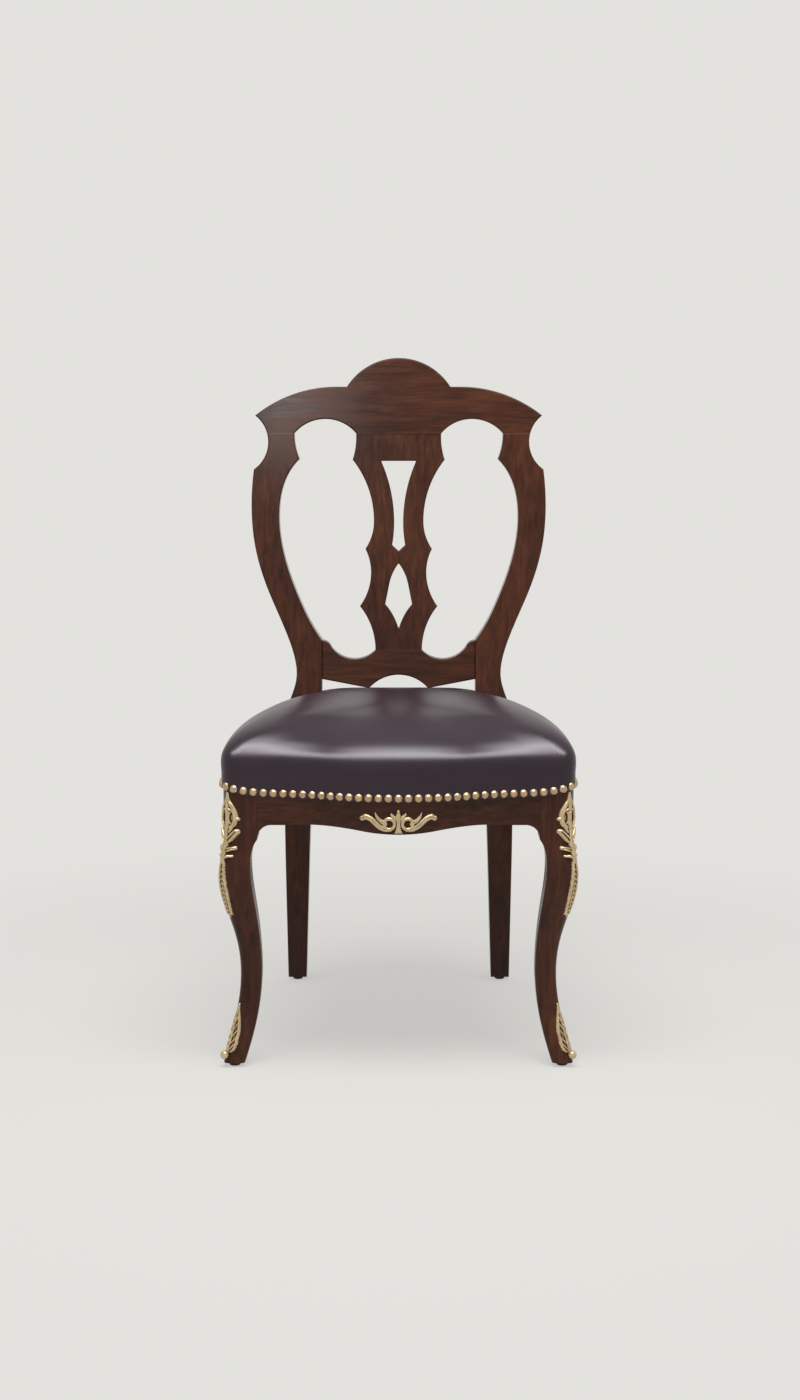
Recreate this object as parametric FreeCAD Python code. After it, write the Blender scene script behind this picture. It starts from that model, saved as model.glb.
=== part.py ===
import FreeCAD, Part
import math
import os
from FreeCAD import Rotation, Vector

# All lengths are in millimetres and all angles in degrees.
# While the pieces are drawn, x runs to the viewer's right, y runs back from the front faces of the
# front legs and z runs up from the floor. At the end the chair is moved so that its box is centred.

# Whole chair
overall_height = 1000.0
back_rake = 9.5
rake_bend_radius = 300.0
rake_bend_rise = 14.0
edge_radius = 2.0

# Seat frame in plan
front_half_width = 244.0
rear_half_width = 179.5
seat_depth = 405.0
front_bow = 44.0
leg_block = 48.0
corner_radius = 26.0

# Seat rails
rail_top = 416.0
rail_depth = 70.5
rail_thickness = 26.0
bracket_drop = 21.0
bracket_length = 20.0
front_rail_belly = 5.5
front_rail_belly_half = 105.0
front_rail_lift = 3.0
rear_rail_thickness = 24.0
rear_rail_setback = 8.0

# Joints between the wooden pieces
tenon_thickness = 10.0
tenon_length = 22.0
tenon_shoulder = 9.0
glue_gap = 0.1
mortise_end_gap = 1.0
tongue_thickness = 8.0
tongue_length = 14.0
tongue_shoulder = 10.0
dowel_radius = 4.0
dowel_length = 40.0
dowel_spacing = 22.0

# Front legs: share of the height up to the block, overhang of the outer faces past the block,
# thickness, radius of the outer arris, radius of the other edges
leg_stations = (
    (1.00, 0.0, 48.0, 26.0, 0.5),
    (0.88, 5.0, 43.5, 19.0, 3.0),
    (0.71, -1.5, 42.5, 14.0, 5.0),
    (0.53, -17.0, 33.3, 11.0, 6.0),
    (0.36, -21.5, 30.0, 9.0, 7.0),
    (0.17, -12.5, 31.3, 9.0, 7.0),
    (0.07, -4.0, 31.5, 9.0, 7.0),
    (0.00, 1.5, 30.0, 9.0, 7.0),
)

# Rear posts seen from the front
post_inner = 120.0
post_depth = 40.0
post_head_thickness = 26.0
post_foot_outer = 179.0
post_foot_inner = 149.5
post_foot_depth = 30.0
rear_leg_inner = 139.5
rear_leg_shoulder = 86.0
rear_leg_rake = 16.0
rear_leg_bend_radius = 500.0
haunch_half = 227.8
haunch_drop = 174.0
notch_half = 205.4
post_cusp_half = 156.0
post_cusp_drop = 158.0
post_neck_half = 164.3
post_neck_sag = 2.2
# Share of the height from the seat rail to the haunch, half width of the outer edge
post_outer_line = ((0.22, 159.8), (0.38, 176.0), (0.56, 207.8), (0.71, 225.6), (0.85, 231.2))
# Share of the height from the lower back rail to the cusp, half width of the inner edge
post_inner_line = ((0.10, 138.5), (0.20, 152.3), (0.37, 171.4), (0.68, 187.7), (0.90, 176.0))

# Crest rail
crest_thickness = 25.0
crest_seam_drop = 118.0
dome_half = 81.5
dome_rise = 45.0
crest_flat_half = 98.0
ear_half = 226.0
ear_drop = 90.0
arch_rise = 22.5

# Splat, with half widths of its outer edge and of its two piercings
splat_thickness = 14.0
splat_setback = 1.5
splat_head_half = 67.0
splat_foot_half = 36.4
head_cusp_drop = 41.0
head_cusp_half = 72.5
upper_waist_half = 38.9
upper_waist_share = 0.69
middle_cusp_share = 0.534
middle_cusp_half = 52.3
middle_waist_half = 43.4
middle_waist_share = 0.41
lower_cusp_rise = 68.0
lower_cusp_half = 60.8
slot_drop = 43.0
slot_head_half = 27.5
slot_waist_half = 7.0
slot_waist_share = 0.73
slot_heel_half = 10.2
slot_point = 9.5
slot_heel_rise = 6.0
lozenge_gap = 19.0
lozenge_half = 21.0
lozenge_shoulder_half = 14.6
lozenge_foot_rise = 32.0
lozenge_side_rise = 3.0
piercing_corner = 1.0
splat_edge_sag = 2.0

# Lower back rail
lower_rail_thickness = 22.0
lower_rail_setback = 2.0
lower_rail_top = 545.0
lower_rail_bottom = 486.0
lower_rail_end_rise = 15.0
lower_rail_dip = 13.8
lower_rail_dip_half = 69.0
lower_rail_bump_half = 105.5
lower_rail_bump_rise = 5.0
lower_rail_end_lift = 14.0
lower_rail_point_half = 46.0
lower_rail_arch_rise = 20.5

# Corner blocks and their bolts
block_reach = 105.0
rear_block_reach = 120.0
block_height = 45.0
block_top_gap = 6.0
bolt_radius = 3.0
bolt_grip = 24.0
rear_bolt_grip = 17.0
bolt_gap = 0.3
washer_radius = 8.0
washer_thickness = 1.6
nut_radius = 5.8
nut_height = 5.0
bolt_end = 2.0

# Upholstery
webbing_width = 46.0
webbing_thickness = 2.0
webbing_pitch = 55.0
webbing_count = 4
cross_webbing_pitch = 72.0
webbing_edge = 6.0
burlap_thickness = 1.0
burlap_edge = 4.0
leather = 2.2
leather_gap = 0.3
leather_hem = 6.0
hem_rise = 8.0
hem_rise_start = 170.0
hem_rise_reach = 68.0
join_tolerance = 0.01
post_notch_gap = 0.4
crown_half = 124.0
crown_corner = 86.0
# Share of the way in from the rails to the crown of the stuffing, and height over the rail tops
cushion_line = (
    (0.0, 0.0), (-0.006, 15.0), (0.012, 28.5), (0.075, 42.5), (0.19, 54.0),
    (0.35, 63.0), (0.542, 71.0), (0.767, 77.0), (1.0, 81.0),
)

# Upholstery nails
nail_line = 390.0
nail_pitch = 13.9
nail_head_radius = 5.8
nail_head_height = 3.8
nail_shank_radius = 0.9
nail_length = 13.0
nail_point = 2.0

# Gilt mounts
mount_thickness = 3.0
knee_mount_gap = 1.5
# Depth below the top of the knee mount, half width across the arris
knee_mount_line = (
    (10.0, 5.5), (25.0, 13.0), (36.0, 15.5), (45.0, 13.0), (54.0, 16.5), (66.0, 11.0), (77.0, 15.5),
    (88.0, 12.5), (98.0, 7.5), (110.0, 8.5), (124.0, 11.0), (138.0, 12.0), (153.0, 11.0),
)
knee_mount_length = 168.0
knee_mount_end_half = 6.0
# Height above the sole, half width across the arris
sabot_line = ((14.0, 4.5), (21.0, 8.0), (31.0, 8.8), (46.0, 8.2), (60.0, 5.8))
sabot_height = 81.0
toe_ball_radius = 6.2
toe_ball_rise = 12.0
toe_neck_radius = 4.4
apron_mount_base = 6.5
apron_mount_foot_half = 4.0
apron_mount_volute_radius = 9.5
apron_mount_volute_hole = 4.4
apron_mount_volute_half = 12.3
apron_mount_volute_rise = 15.0
apron_mount_half = 54.0
apron_mount_arm = 7.5
apron_mount_arm_rise = 19.0
apron_mount_leaf_half = 6.5
apron_mount_leaf_spread = 32.0
apron_mount_height = 36.0
apron_mount_lift = 1.0
pin_head_radius = 2.0
pin_head_height = 1.3
pin_radius = 0.8
pin_length = 12.0
knee_pin_drops = (30.0, 95.0, 160.0)
sabot_pin_rise = 50.0

# Glides
glide_height = 6.0
glide_radius = 8.0
glide_rounding = 2.0
glide_pin_radius = 1.5
glide_pin_length = 14.0

# Heights and places that follow from the sizes above
rail_bottom = rail_top - rail_depth
block_bottom = rail_bottom - bracket_drop
crest_seam = overall_height - crest_seam_drop
seat_back = seat_depth + rear_rail_setback + rear_rail_thickness
crown_inset = front_half_width - crown_half
corner_softening = (crown_corner - corner_radius) / crown_inset
tan_rake = math.tan(math.radians(back_rake))
rake_bend_start = rail_top + rake_bend_rise
rake_foot = rake_bend_start + rake_bend_radius * math.tan(math.radians(back_rake / 2))
mirror_plane = (Vector(0, 0, 0), Vector(1, 0, 0))
right = Vector(1, 0, 0)
back = Vector(0, 1, 0)
up = Vector(0, 0, 1)
outward = Vector(1, -1, 0).normalize()
along = Vector(1, 1, 0).normalize()
far = 400.0


def line(start, end):
    return Part.LineSegment(start, end).toShape()


def arc(start, middle, end):
    return Part.Arc(start, middle, end).toShape()


def bend_middle(start, direction, end):
    """Middle point of the arc that leaves start along the direction and ends at end."""
    chord = end - start
    unit = Vector(chord).normalize()
    side = direction - unit * direction.dot(unit)
    turn = math.acos(max(-1.0, min(1.0, direction.dot(unit))))
    return (start + end) * 0.5 + side.normalize() * (chord.Length / 2 * math.tan(turn / 2))


def bend(start, direction, end):
    """Arc that leaves start along the direction."""
    return arc(start, bend_middle(start, direction, end), end)


def bend_in(start, end, direction):
    """Arc that arrives at end along the direction."""
    return arc(start, bend_middle(end, -direction, start), end)


def curve(points, start, end):
    """Smooth curve through the points with the given directions at its ends."""
    spline = Part.BSplineCurve()
    spline.interpolate(Points=points, InitialTangent=start, FinalTangent=end)
    return spline.toShape()


def started_curve(points, start):
    """Smooth curve through the points with the given direction at its start, its end left to follow them."""
    others = len(points) - 1
    spline = Part.BSplineCurve()
    spline.interpolate(
        Points=points, Tangents=[start] + [up] * others, TangentFlags=[True] + [False] * others,
    )
    return spline.toShape()


def free_curve(points):
    """Smooth curve through the points, its ends left to follow them."""
    spline = Part.BSplineCurve()
    spline.interpolate(Points=points)
    return spline.toShape()


def face(edges):
    return Part.Face(Part.Wire(edges))


def polygon(points):
    return Part.Face(Part.makePolygon(points + [points[0]]))


def flip(point):
    return Vector(-point.x, point.y, point.z)


def mirrored(shape):
    return shape.mirror(*mirror_plane)


def front(x, z):
    """Point of an outline seen from the front."""
    return Vector(x, 0, z)


def through(outline):
    """Solid of a front outline, running through the whole chair from front to back."""
    moved = outline.copy()
    moved.translate(Vector(0, -far, 0))
    return moved.extrude(back * 3 * far)


def box(x0, x1, y0, y1, z0, z1):
    return Part.makeBox(x1 - x0, y1 - y0, z1 - z0, Vector(x0, y0, z0))


def rod(radius, length, base, direction):
    return Part.makeCylinder(radius, length, base, direction)


def rounded(corners, radii):
    """Closed outline with a rounding at every corner."""
    count = len(corners)
    stops = []
    for i, corner in enumerate(corners):
        before = (corners[i - 1] - corner).normalize()
        after = (corners[(i + 1) % count] - corner).normalize()
        stops.append((corner + before * radii[i], corner + after * radii[i], before, after))
    edges = []
    for i, (entry, leave, before, after) in enumerate(stops):
        edges.append(bend(entry, -before, leave))
        edges.append(line(leave, stops[(i + 1) % count][0]))
    return Part.Wire(edges)


def softened(points, radii):
    """Straight runs through the points, with an arc of a given radius at every inner point."""
    edges = []
    start = points[0]
    for before, corner, after, radius in zip(points, points[1:], points[2:], radii):
        coming = (corner - before).normalize()
        going = (after - corner).normalize()
        trim = radius * math.tan(coming.getAngle(going) / 2)
        edges.append(line(start, corner - coming * trim))
        edges.append(bend(corner - coming * trim, coming, corner + going * trim))
        start = corner + going * trim
    edges.append(line(start, points[-1]))
    return edges


def between(first, last, share):
    return first + (last - first) * share


def rake(z):
    """How far back the raked face of the back lies at a height."""
    return seat_depth + (z - rake_foot) * tan_rake


def raked_slab(setback, thickness):
    """Slab that follows the rake of the back."""
    low = rail_top
    high = overall_height + post_depth
    corners = [
        Vector(-far, rake(low) + setback, low),
        Vector(-far, rake(high) + setback, high),
        Vector(-far, rake(high) + setback + thickness, high),
        Vector(-far, rake(low) + setback + thickness, low),
    ]
    return polygon(corners).extrude(right * 2 * far)


def back_board(outline, setback, thickness):
    return through(outline).common(raked_slab(setback, thickness))


def eased(board, seams):
    """Round the front and back edges of a board, except the level ones at the seams.

    With no seams given, every level edge stays sharp.
    """
    edges = []
    for side in board.Faces:
        if not isinstance(side.Surface, Part.Plane) or abs(side.normalAt(0, 0).y) < 0.9:
            continue
        for edge in side.Edges:
            span = edge.BoundBox
            level = span.ZLength < 0.01
            at_seam = not seams or any(abs(span.ZMin - seam) < 0.01 for seam in seams)
            if not (level and at_seam):
                edges.append(edge)
    return board.makeFillet(edge_radius, edges)


# Seat frame outline
def seat_outline(inset, z):
    """Outline of the seat at a height, drawn in from the outer faces of the rails."""
    corner = corner_radius + max(-inset, corner_softening * inset)
    half = front_half_width - inset
    flat = leg_block - corner_radius
    shoulder = half - corner - flat
    bow = front_bow * shoulder / (front_half_width - leg_block)
    tail_length = seat_back - seat_depth
    swell = Vector(shoulder / 2, inset - bow / 2, z)
    heel = Vector(shoulder, inset, z)
    corner_start = Vector(half - corner, inset, z)
    corner_end = Vector(half, inset + corner, z)
    flank = Vector(half, inset + corner + flat, z)
    tail = Vector(rear_half_width - inset, seat_back - inset - tail_length, z)
    end = Vector(rear_half_width - inset, seat_back - inset, z)
    return Part.Wire([
        arc(flip(swell), Vector(0, inset - bow, z), swell),
        bend_in(swell, heel, right),
        line(heel, corner_start),
        bend(corner_start, right, corner_end),
        line(corner_end, flank),
        bend(flank, back, tail),
        line(tail, end),
        line(end, flip(end)),
        line(flip(end), flip(tail)),
        bend_in(flip(tail), flip(flank), -back),
        line(flip(flank), flip(corner_end)),
        bend_in(flip(corner_end), flip(corner_start), right),
        line(flip(corner_start), flip(heel)),
        bend(flip(heel), right, flip(swell)),
    ])


def seat_sheet(inset, z, thickness):
    return Part.Face(seat_outline(inset, z)).extrude(up * thickness)


def tenon_heights(gap):
    return rail_bottom + tenon_shoulder - gap, rail_top - tenon_shoulder + gap


def front_tenon(gap, end_gap):
    """Tenon of the front rail at the right-hand leg, or its mortise."""
    low, high = tenon_heights(gap)
    middle = rail_thickness / 2
    start = front_half_width - leg_block
    depth = tenon_thickness / 2 + gap
    return box(start, start + tenon_length + end_gap, middle - depth, middle + depth, low, high)


def side_front_tenon(gap, end_gap):
    """Tenon of the right side rail at the front leg, or its mortise."""
    low, high = tenon_heights(gap)
    middle = front_half_width - rail_thickness / 2
    width = tenon_thickness / 2 + gap
    return box(middle - width, middle + width, leg_block - tenon_length - end_gap, leg_block, low, high)


def side_rear_tenon(gap, end_gap):
    """Tenon of the right side rail at the rear post, or its mortise."""
    low, high = tenon_heights(gap)
    middle = rear_half_width - rail_thickness / 2
    width = tenon_thickness / 2 + gap
    return box(middle - width, middle + width, seat_depth, seat_depth + tenon_length + end_gap, low, high)


def rear_tenon(gap, end_gap):
    """Tenon of the rear rail at the right-hand post, or its mortise."""
    low, high = tenon_heights(gap)
    middle = seat_depth + rear_rail_setback + rear_rail_thickness / 2
    depth = tenon_thickness / 2 + gap
    return box(post_inner, post_inner + tenon_length + end_gap, middle - depth, middle + depth, low, high)


# Front rail
shoulder = front_half_width - leg_block
rail_swell = Vector(shoulder / 2, -front_bow / 2, 0)
rail_heel = Vector(shoulder, 0, 0)
serpentine = [
    bend(flip(rail_heel), right, flip(rail_swell)),
    arc(flip(rail_swell), Vector(0, -front_bow, 0), rail_swell),
    bend_in(rail_swell, rail_heel, right),
]


def serpentine_band(start, thickness):
    """Upright band that follows the front of the seat, from floor to rail top."""
    shift = Vector(0, start, 0)
    near = [edge.translated(shift) for edge in serpentine]
    distant = [edge.translated(shift + back * thickness) for edge in serpentine]
    ends = [line(point + shift, point + shift + back * thickness) for point in (rail_heel, flip(rail_heel))]
    return face(near + [ends[0]] + distant[::-1] + [ends[1]]).extrude(up * rail_top)


belly_low = front(0, rail_bottom - front_rail_belly)
belly_end = front(front_rail_belly_half, rail_bottom + front_rail_lift)
belly_turn = (belly_low + belly_end) * 0.5
bracket_end = front(shoulder - bracket_length, rail_bottom)
lift_turn = (belly_end + bracket_end) * 0.5
bracket_foot = front(shoulder, block_bottom)
front_rail_half = [
    bend(belly_low, right, belly_turn),
    bend_in(belly_turn, belly_end, right),
    bend(belly_end, right, lift_turn),
    bend_in(lift_turn, bracket_end, right),
    bend(bracket_end, right, bracket_foot),
    line(bracket_foot, front(shoulder, rail_top)),
    line(front(shoulder, rail_top), front(0, rail_top)),
]
front_rail_outline = face(front_rail_half + [mirrored(edge) for edge in front_rail_half[::-1]])
front_rail = serpentine_band(0, rail_thickness).common(through(front_rail_outline))
front_rail = front_rail.fuse([front_tenon(0, 0), mirrored(front_tenon(0, 0))])

# Side rails
side_start = Vector(front_half_width, leg_block, 0)
side_end = Vector(rear_half_width, seat_depth, 0)
side_outer = bend(side_start, back, side_end)
side_shift = right * -rail_thickness
side_band = face([
    side_outer,
    line(side_end, side_end + side_shift),
    side_outer.translated(side_shift),
    line(side_start, side_start + side_shift),
]).extrude(up * rail_top)


def side(y, z):
    """Point of an outline seen from the side."""
    return Vector(-far, y, z)


side_rail_outline = face([
    line(side(leg_block, rail_top), side(seat_depth, rail_top)),
    line(side(seat_depth, rail_top), side(seat_depth, block_bottom)),
    bend_in(side(seat_depth, block_bottom), side(seat_depth - bracket_length, rail_bottom), -back),
    line(side(seat_depth - bracket_length, rail_bottom), side(leg_block + bracket_length, rail_bottom)),
    bend(side(leg_block + bracket_length, rail_bottom), -back, side(leg_block, block_bottom)),
    line(side(leg_block, block_bottom), side(leg_block, rail_top)),
])
right_side_rail = side_band.common(side_rail_outline.extrude(right * 2 * far))
right_side_rail = right_side_rail.fuse([side_front_tenon(0, 0), side_rear_tenon(0, 0)])

# Rear rail
rear_rail_front = seat_depth + rear_rail_setback
rear_rail = box(-post_inner, post_inner, rear_rail_front, seat_back, rail_bottom, rail_top)
rear_rail = rear_rail.fuse([rear_tenon(0, 0), mirrored(rear_tenon(0, 0))])


# Front legs
def leg_section(share, overhang, thickness, arris, edge):
    """Outline of the right front leg at a share of its height."""
    z = glide_height + share * (block_bottom - glide_height)
    outer = front_half_width + overhang
    near = -overhang
    corners = [
        Vector(outer - thickness, near, z),
        Vector(outer, near, z),
        Vector(outer, near + thickness, z),
        Vector(outer - thickness, near + thickness, z),
    ]
    return rounded(corners, (edge, arris, edge, edge))


def leg_form(grow):
    """Right front leg without its joints, with its outer faces moved out."""
    wires = []
    for share, overhang, thickness, arris, edge in leg_stations:
        wires.append(leg_section(share, overhang + grow, thickness + grow, arris + grow, edge))
    shaft = Part.makeLoft(wires[::-1], True)
    head = Part.Face(wires[0]).extrude(up * (rail_top - block_bottom))
    return shaft.fuse(head)


def glide(x, y):
    """Glide with its pin, standing on the floor."""
    disc = rod(glide_radius, glide_height, Vector(x, y, 0), up)
    floor_edges = [edge for edge in disc.Edges if edge.BoundBox.ZMax < 0.01]
    disc = disc.makeFillet(glide_rounding, floor_edges)
    return disc.fuse(rod(glide_pin_radius, glide_pin_length, Vector(x, y, glide_height), up))


def glide_hole(x, y):
    depth = glide_height + glide_pin_length + mortise_end_gap
    return rod(glide_pin_radius + glue_gap, depth, Vector(x, y, 0), up)


sole_overhang = leg_stations[-1][1]
sole_half = leg_stations[-1][2] / 2
front_glide_x = front_half_width + sole_overhang - sole_half
front_glide_y = -sole_overhang + sole_half
right_leg_form = leg_form(0)
right_front_leg = right_leg_form.cut([
    front_tenon(glue_gap, mortise_end_gap),
    side_front_tenon(glue_gap, mortise_end_gap),
    glide_hole(front_glide_x, front_glide_y),
])

# Rear posts: outline from the front, crossed with an outline from the side
haunch = front(haunch_half, overall_height - haunch_drop)
ear = front(ear_half, overall_height - ear_drop)
notch = arc(haunch, front(notch_half, (haunch.z + ear.z) / 2), ear).Curve
notch_reach = math.sqrt(notch.Radius ** 2 - (crest_seam - notch.Center.z) ** 2)
neck_outer = front(notch.Center.x - notch_reach, crest_seam)
neck_inner = front(post_neck_half, crest_seam)
post_cusp = front(post_cusp_half, overall_height - post_cusp_drop)
rail_end_top = lower_rail_top + lower_rail_end_rise


def notch_arc(start, end):
    """Part of the round notch between the ear of the crest and the haunch of the post."""
    centre = notch.Center
    middle = (start + end) * 0.5
    return arc(start, centre + (middle - centre).normalize() * notch.Radius, end)


outer_points = [front(rear_half_width, rail_top)]
for share, half in post_outer_line:
    outer_points.append(front(half, rail_top + share * (haunch.z - rail_top)))
outer_points.append(haunch)
inner_points = [front(post_inner, rail_end_top)]
for share, half in post_inner_line:
    inner_points.append(front(half, rail_end_top + share * (post_cusp.z - rail_end_top)))
inner_points.append(post_cusp)
shoulder_top = front(post_inner, rail_bottom)
shoulder_foot = front(rear_leg_inner, rail_bottom - rear_leg_shoulder)
shoulder_turn = (shoulder_top + shoulder_foot) * 0.5
post_front = face([
    line(front(post_foot_outer, glide_height), front(rear_half_width, block_bottom)),
    line(front(rear_half_width, block_bottom), outer_points[0]),
    started_curve(outer_points, up),
    notch_arc(haunch, neck_outer),
    line(neck_outer, neck_inner),
    arc(neck_inner, (neck_inner + post_cusp) * 0.5 + right * post_neck_sag, post_cusp),
    free_curve(inner_points[::-1]),
    line(inner_points[0], shoulder_top),
    bend(shoulder_top, -up, shoulder_turn),
    bend_in(shoulder_turn, shoulder_foot, -up),
    line(shoulder_foot, front(post_foot_inner, glide_height)),
    line(front(post_foot_inner, glide_height), front(post_foot_outer, glide_height)),
])

leg_turn = math.radians(rear_leg_rake)
leg_kink = block_bottom - rear_leg_bend_radius * math.tan(leg_turn / 2)
rear_foot_front = seat_depth + (leg_kink - glide_height) * math.tan(leg_turn)
seat_rear = seat_depth + post_depth
head_front = side(rake(crest_seam), crest_seam)
head_rear = head_front + back * post_head_thickness
foot_front = side(rear_foot_front, glide_height)
foot_rear = foot_front + back * post_foot_depth
front_line = [foot_front, side(seat_depth, leg_kink), side(seat_depth, rake_foot), head_front]
rear_line = [head_rear, side(seat_rear, rake_foot), side(seat_rear, leg_kink), foot_rear]
post_side = face(
    softened(front_line, (rear_leg_bend_radius, rake_bend_radius))
    + [line(head_front, head_rear)]
    + softened(rear_line, (rake_bend_radius, rear_leg_bend_radius))
    + [line(foot_rear, foot_front)]
)
post_form = eased(through(post_front).common(post_side.extrude(right * 2 * far)), ())

# Crest rail
dome_foot = front(dome_half, overall_height - dome_rise)
crest_flat = front(crest_flat_half, overall_height - dome_rise)
splat_head = front(splat_head_half, crest_seam)
arch_top = front((splat_head_half + post_neck_half) / 2, crest_seam + arch_rise)
crest_half = [
    line(dome_foot, crest_flat),
    bend(crest_flat, right, ear),
    notch_arc(ear, neck_outer),
    line(neck_outer, neck_inner),
    arc(neck_inner, arch_top, splat_head),
]
crest_outline = face(
    [arc(flip(dome_foot), front(0, overall_height), dome_foot)]
    + crest_half
    + [line(splat_head, flip(splat_head))]
    + [mirrored(edge) for edge in crest_half[::-1]]
)
crest_form = eased(back_board(crest_outline, 0, crest_thickness), (crest_seam,))

# Splat
splat_foot = front(splat_foot_half, lower_rail_top)
head_tip = front(head_cusp_half, crest_seam - head_cusp_drop)
middle_tip = front(middle_cusp_half, between(crest_seam, lower_rail_top, middle_cusp_share))
lower_tip = front(lower_cusp_half, lower_rail_top + lower_cusp_rise)
upper_waist = front(upper_waist_half, between(head_tip.z, middle_tip.z, upper_waist_share))
middle_waist = front(middle_waist_half, between(middle_tip.z, lower_tip.z, middle_waist_share))
splat_half = [
    arc(splat_head, (splat_head + head_tip) * 0.5 - right * splat_edge_sag, head_tip),
    bend_in(head_tip, upper_waist, -up),
    bend(upper_waist, -up, middle_tip),
    bend_in(middle_tip, middle_waist, -up),
    bend(middle_waist, -up, lower_tip),
    bend_in(lower_tip, splat_foot, -up),
]
slot_head = front(slot_head_half, crest_seam - slot_drop)
slot_heel = front(slot_heel_half, middle_tip.z + slot_heel_rise)
slot_waist = front(slot_waist_half, between(slot_head.z, slot_heel.z, slot_waist_share))
slot_foot = front(0, slot_heel.z - slot_point)
slot_half = [
    bend_in(slot_head, slot_waist, -up),
    bend(slot_waist, -up, slot_heel),
    line(slot_heel, slot_foot),
]
lozenge_top = front(0, slot_foot.z - lozenge_gap)
lozenge_side = front(lozenge_half, lower_tip.z + lozenge_side_rise)
lozenge_shoulder = front(lozenge_shoulder_half, (lozenge_top.z + lozenge_side.z) / 2)
lozenge_foot = front(0, lower_rail_top + lozenge_foot_rise)
lozenge_half_edges = [
    bend_in(lozenge_top, lozenge_shoulder, (lozenge_side - lozenge_shoulder).normalize()),
    line(lozenge_shoulder, lozenge_side),
    arc(lozenge_side, (lozenge_side + lozenge_foot) * 0.5 + (up - right) * splat_edge_sag, lozenge_foot),
]


def both_sides(half):
    """Right-hand edges from top to bottom, closed by their mirror images."""
    return half + [mirrored(edge) for edge in half[::-1]]


splat_outline = face(
    [line(flip(splat_head), splat_head)] + splat_half + [line(splat_foot, flip(splat_foot))]
    + [mirrored(edge) for edge in splat_half[::-1]]
)


def piercing(outline, corners):
    """Hole through the splat, a little rounded at its corners."""
    hole = back_board(outline, splat_setback, splat_thickness)
    places = corners + [flip(corner) for corner in corners]
    ends = []
    for edge in hole.Edges:
        middle = edge.CenterOfMass
        spot = front(middle.x, middle.z)
        across = edge.BoundBox.YLength > edge.BoundBox.DiagonalLength * 0.9
        if across and any(spot.distanceToPoint(place) < splat_thickness / 2 for place in places):
            ends.append(edge)
    return hole.makeFillet(piercing_corner, ends)


slot_outline = face([line(flip(slot_head), slot_head)] + both_sides(slot_half))
slot = piercing(slot_outline, [slot_head, slot_heel, slot_foot])
lozenge = piercing(face(both_sides(lozenge_half_edges)), [lozenge_top, lozenge_side, lozenge_foot])
splat_board = back_board(splat_outline, splat_setback, splat_thickness)
splat_form = eased(splat_board.cut([slot, lozenge]), (crest_seam, lower_rail_top))

# Lower back rail
dip = front(lower_rail_dip_half, lower_rail_top - lower_rail_dip)
bump = front(lower_rail_bump_half, lower_rail_top + lower_rail_bump_rise)
rail_end_low = front(post_inner, lower_rail_bottom + lower_rail_end_lift)
rail_point = front(lower_rail_point_half, lower_rail_bottom)
lower_rail_half = [
    arc(splat_foot, dip, bump),
    bend_in(bump, front(post_inner, rail_end_top), right),
    line(front(post_inner, rail_end_top), rail_end_low),
    line(rail_end_low, rail_point),
]
lower_rail_outline = face(
    [line(flip(splat_foot), splat_foot)]
    + lower_rail_half
    + [arc(rail_point, front(0, lower_rail_bottom + lower_rail_arch_rise), flip(rail_point))]
    + [mirrored(edge) for edge in lower_rail_half[::-1]]
)
lower_rail_blank = back_board(lower_rail_outline, lower_rail_setback, lower_rail_thickness)
lower_rail_form = eased(lower_rail_blank, (lower_rail_top,))


def rectangle(x0, x1, z0, z1):
    return polygon([front(x0, z0), front(x1, z0), front(x1, z1), front(x0, z1)])


def lower_rail_tenon(gap, end_gap):
    """Tenon of the lower back rail into the right-hand post, or its mortise."""
    low = rail_end_low.z + tenon_shoulder - gap
    high = rail_end_top - tenon_shoulder + gap
    outline = rectangle(post_inner, post_inner + tenon_length + end_gap, low, high)
    setback = lower_rail_setback + (lower_rail_thickness - tenon_thickness) / 2 - gap
    return back_board(outline, setback, tenon_thickness + 2 * gap)


def splat_tongue(seam, half, gap, end_gap):
    """Tongue across an end of the splat, or its groove."""
    reach = tongue_length + end_gap
    outline = rectangle(-half - gap, half + gap, seam - reach, seam + reach)
    setback = splat_setback + (splat_thickness - tongue_thickness) / 2 - gap
    return back_board(outline, setback, tongue_thickness + 2 * gap)


def splat_tongues(gap, end_gap):
    top = splat_tongue(crest_seam, splat_head_half - tongue_shoulder, gap, end_gap)
    foot = splat_tongue(lower_rail_top, splat_foot_half - tongue_shoulder, gap, end_gap)
    return [top, foot]


def crest_dowels(gap, end_gap):
    """Dowels between the crest rail and both posts, or their holes."""
    slope = Vector(0, tan_rake, 1).normalize()
    middle_x = (neck_outer.x + neck_inner.x) / 2
    middle_y = rake(crest_seam) + crest_thickness / 2
    length = dowel_length + 2 * end_gap
    dowels = []
    for offset in (-dowel_spacing / 2, dowel_spacing / 2):
        middle = Vector(middle_x + offset, middle_y, crest_seam)
        dowel = rod(dowel_radius + gap, length, middle - slope * (length / 2), slope)
        dowels += [dowel, mirrored(dowel)]
    return dowels


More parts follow.
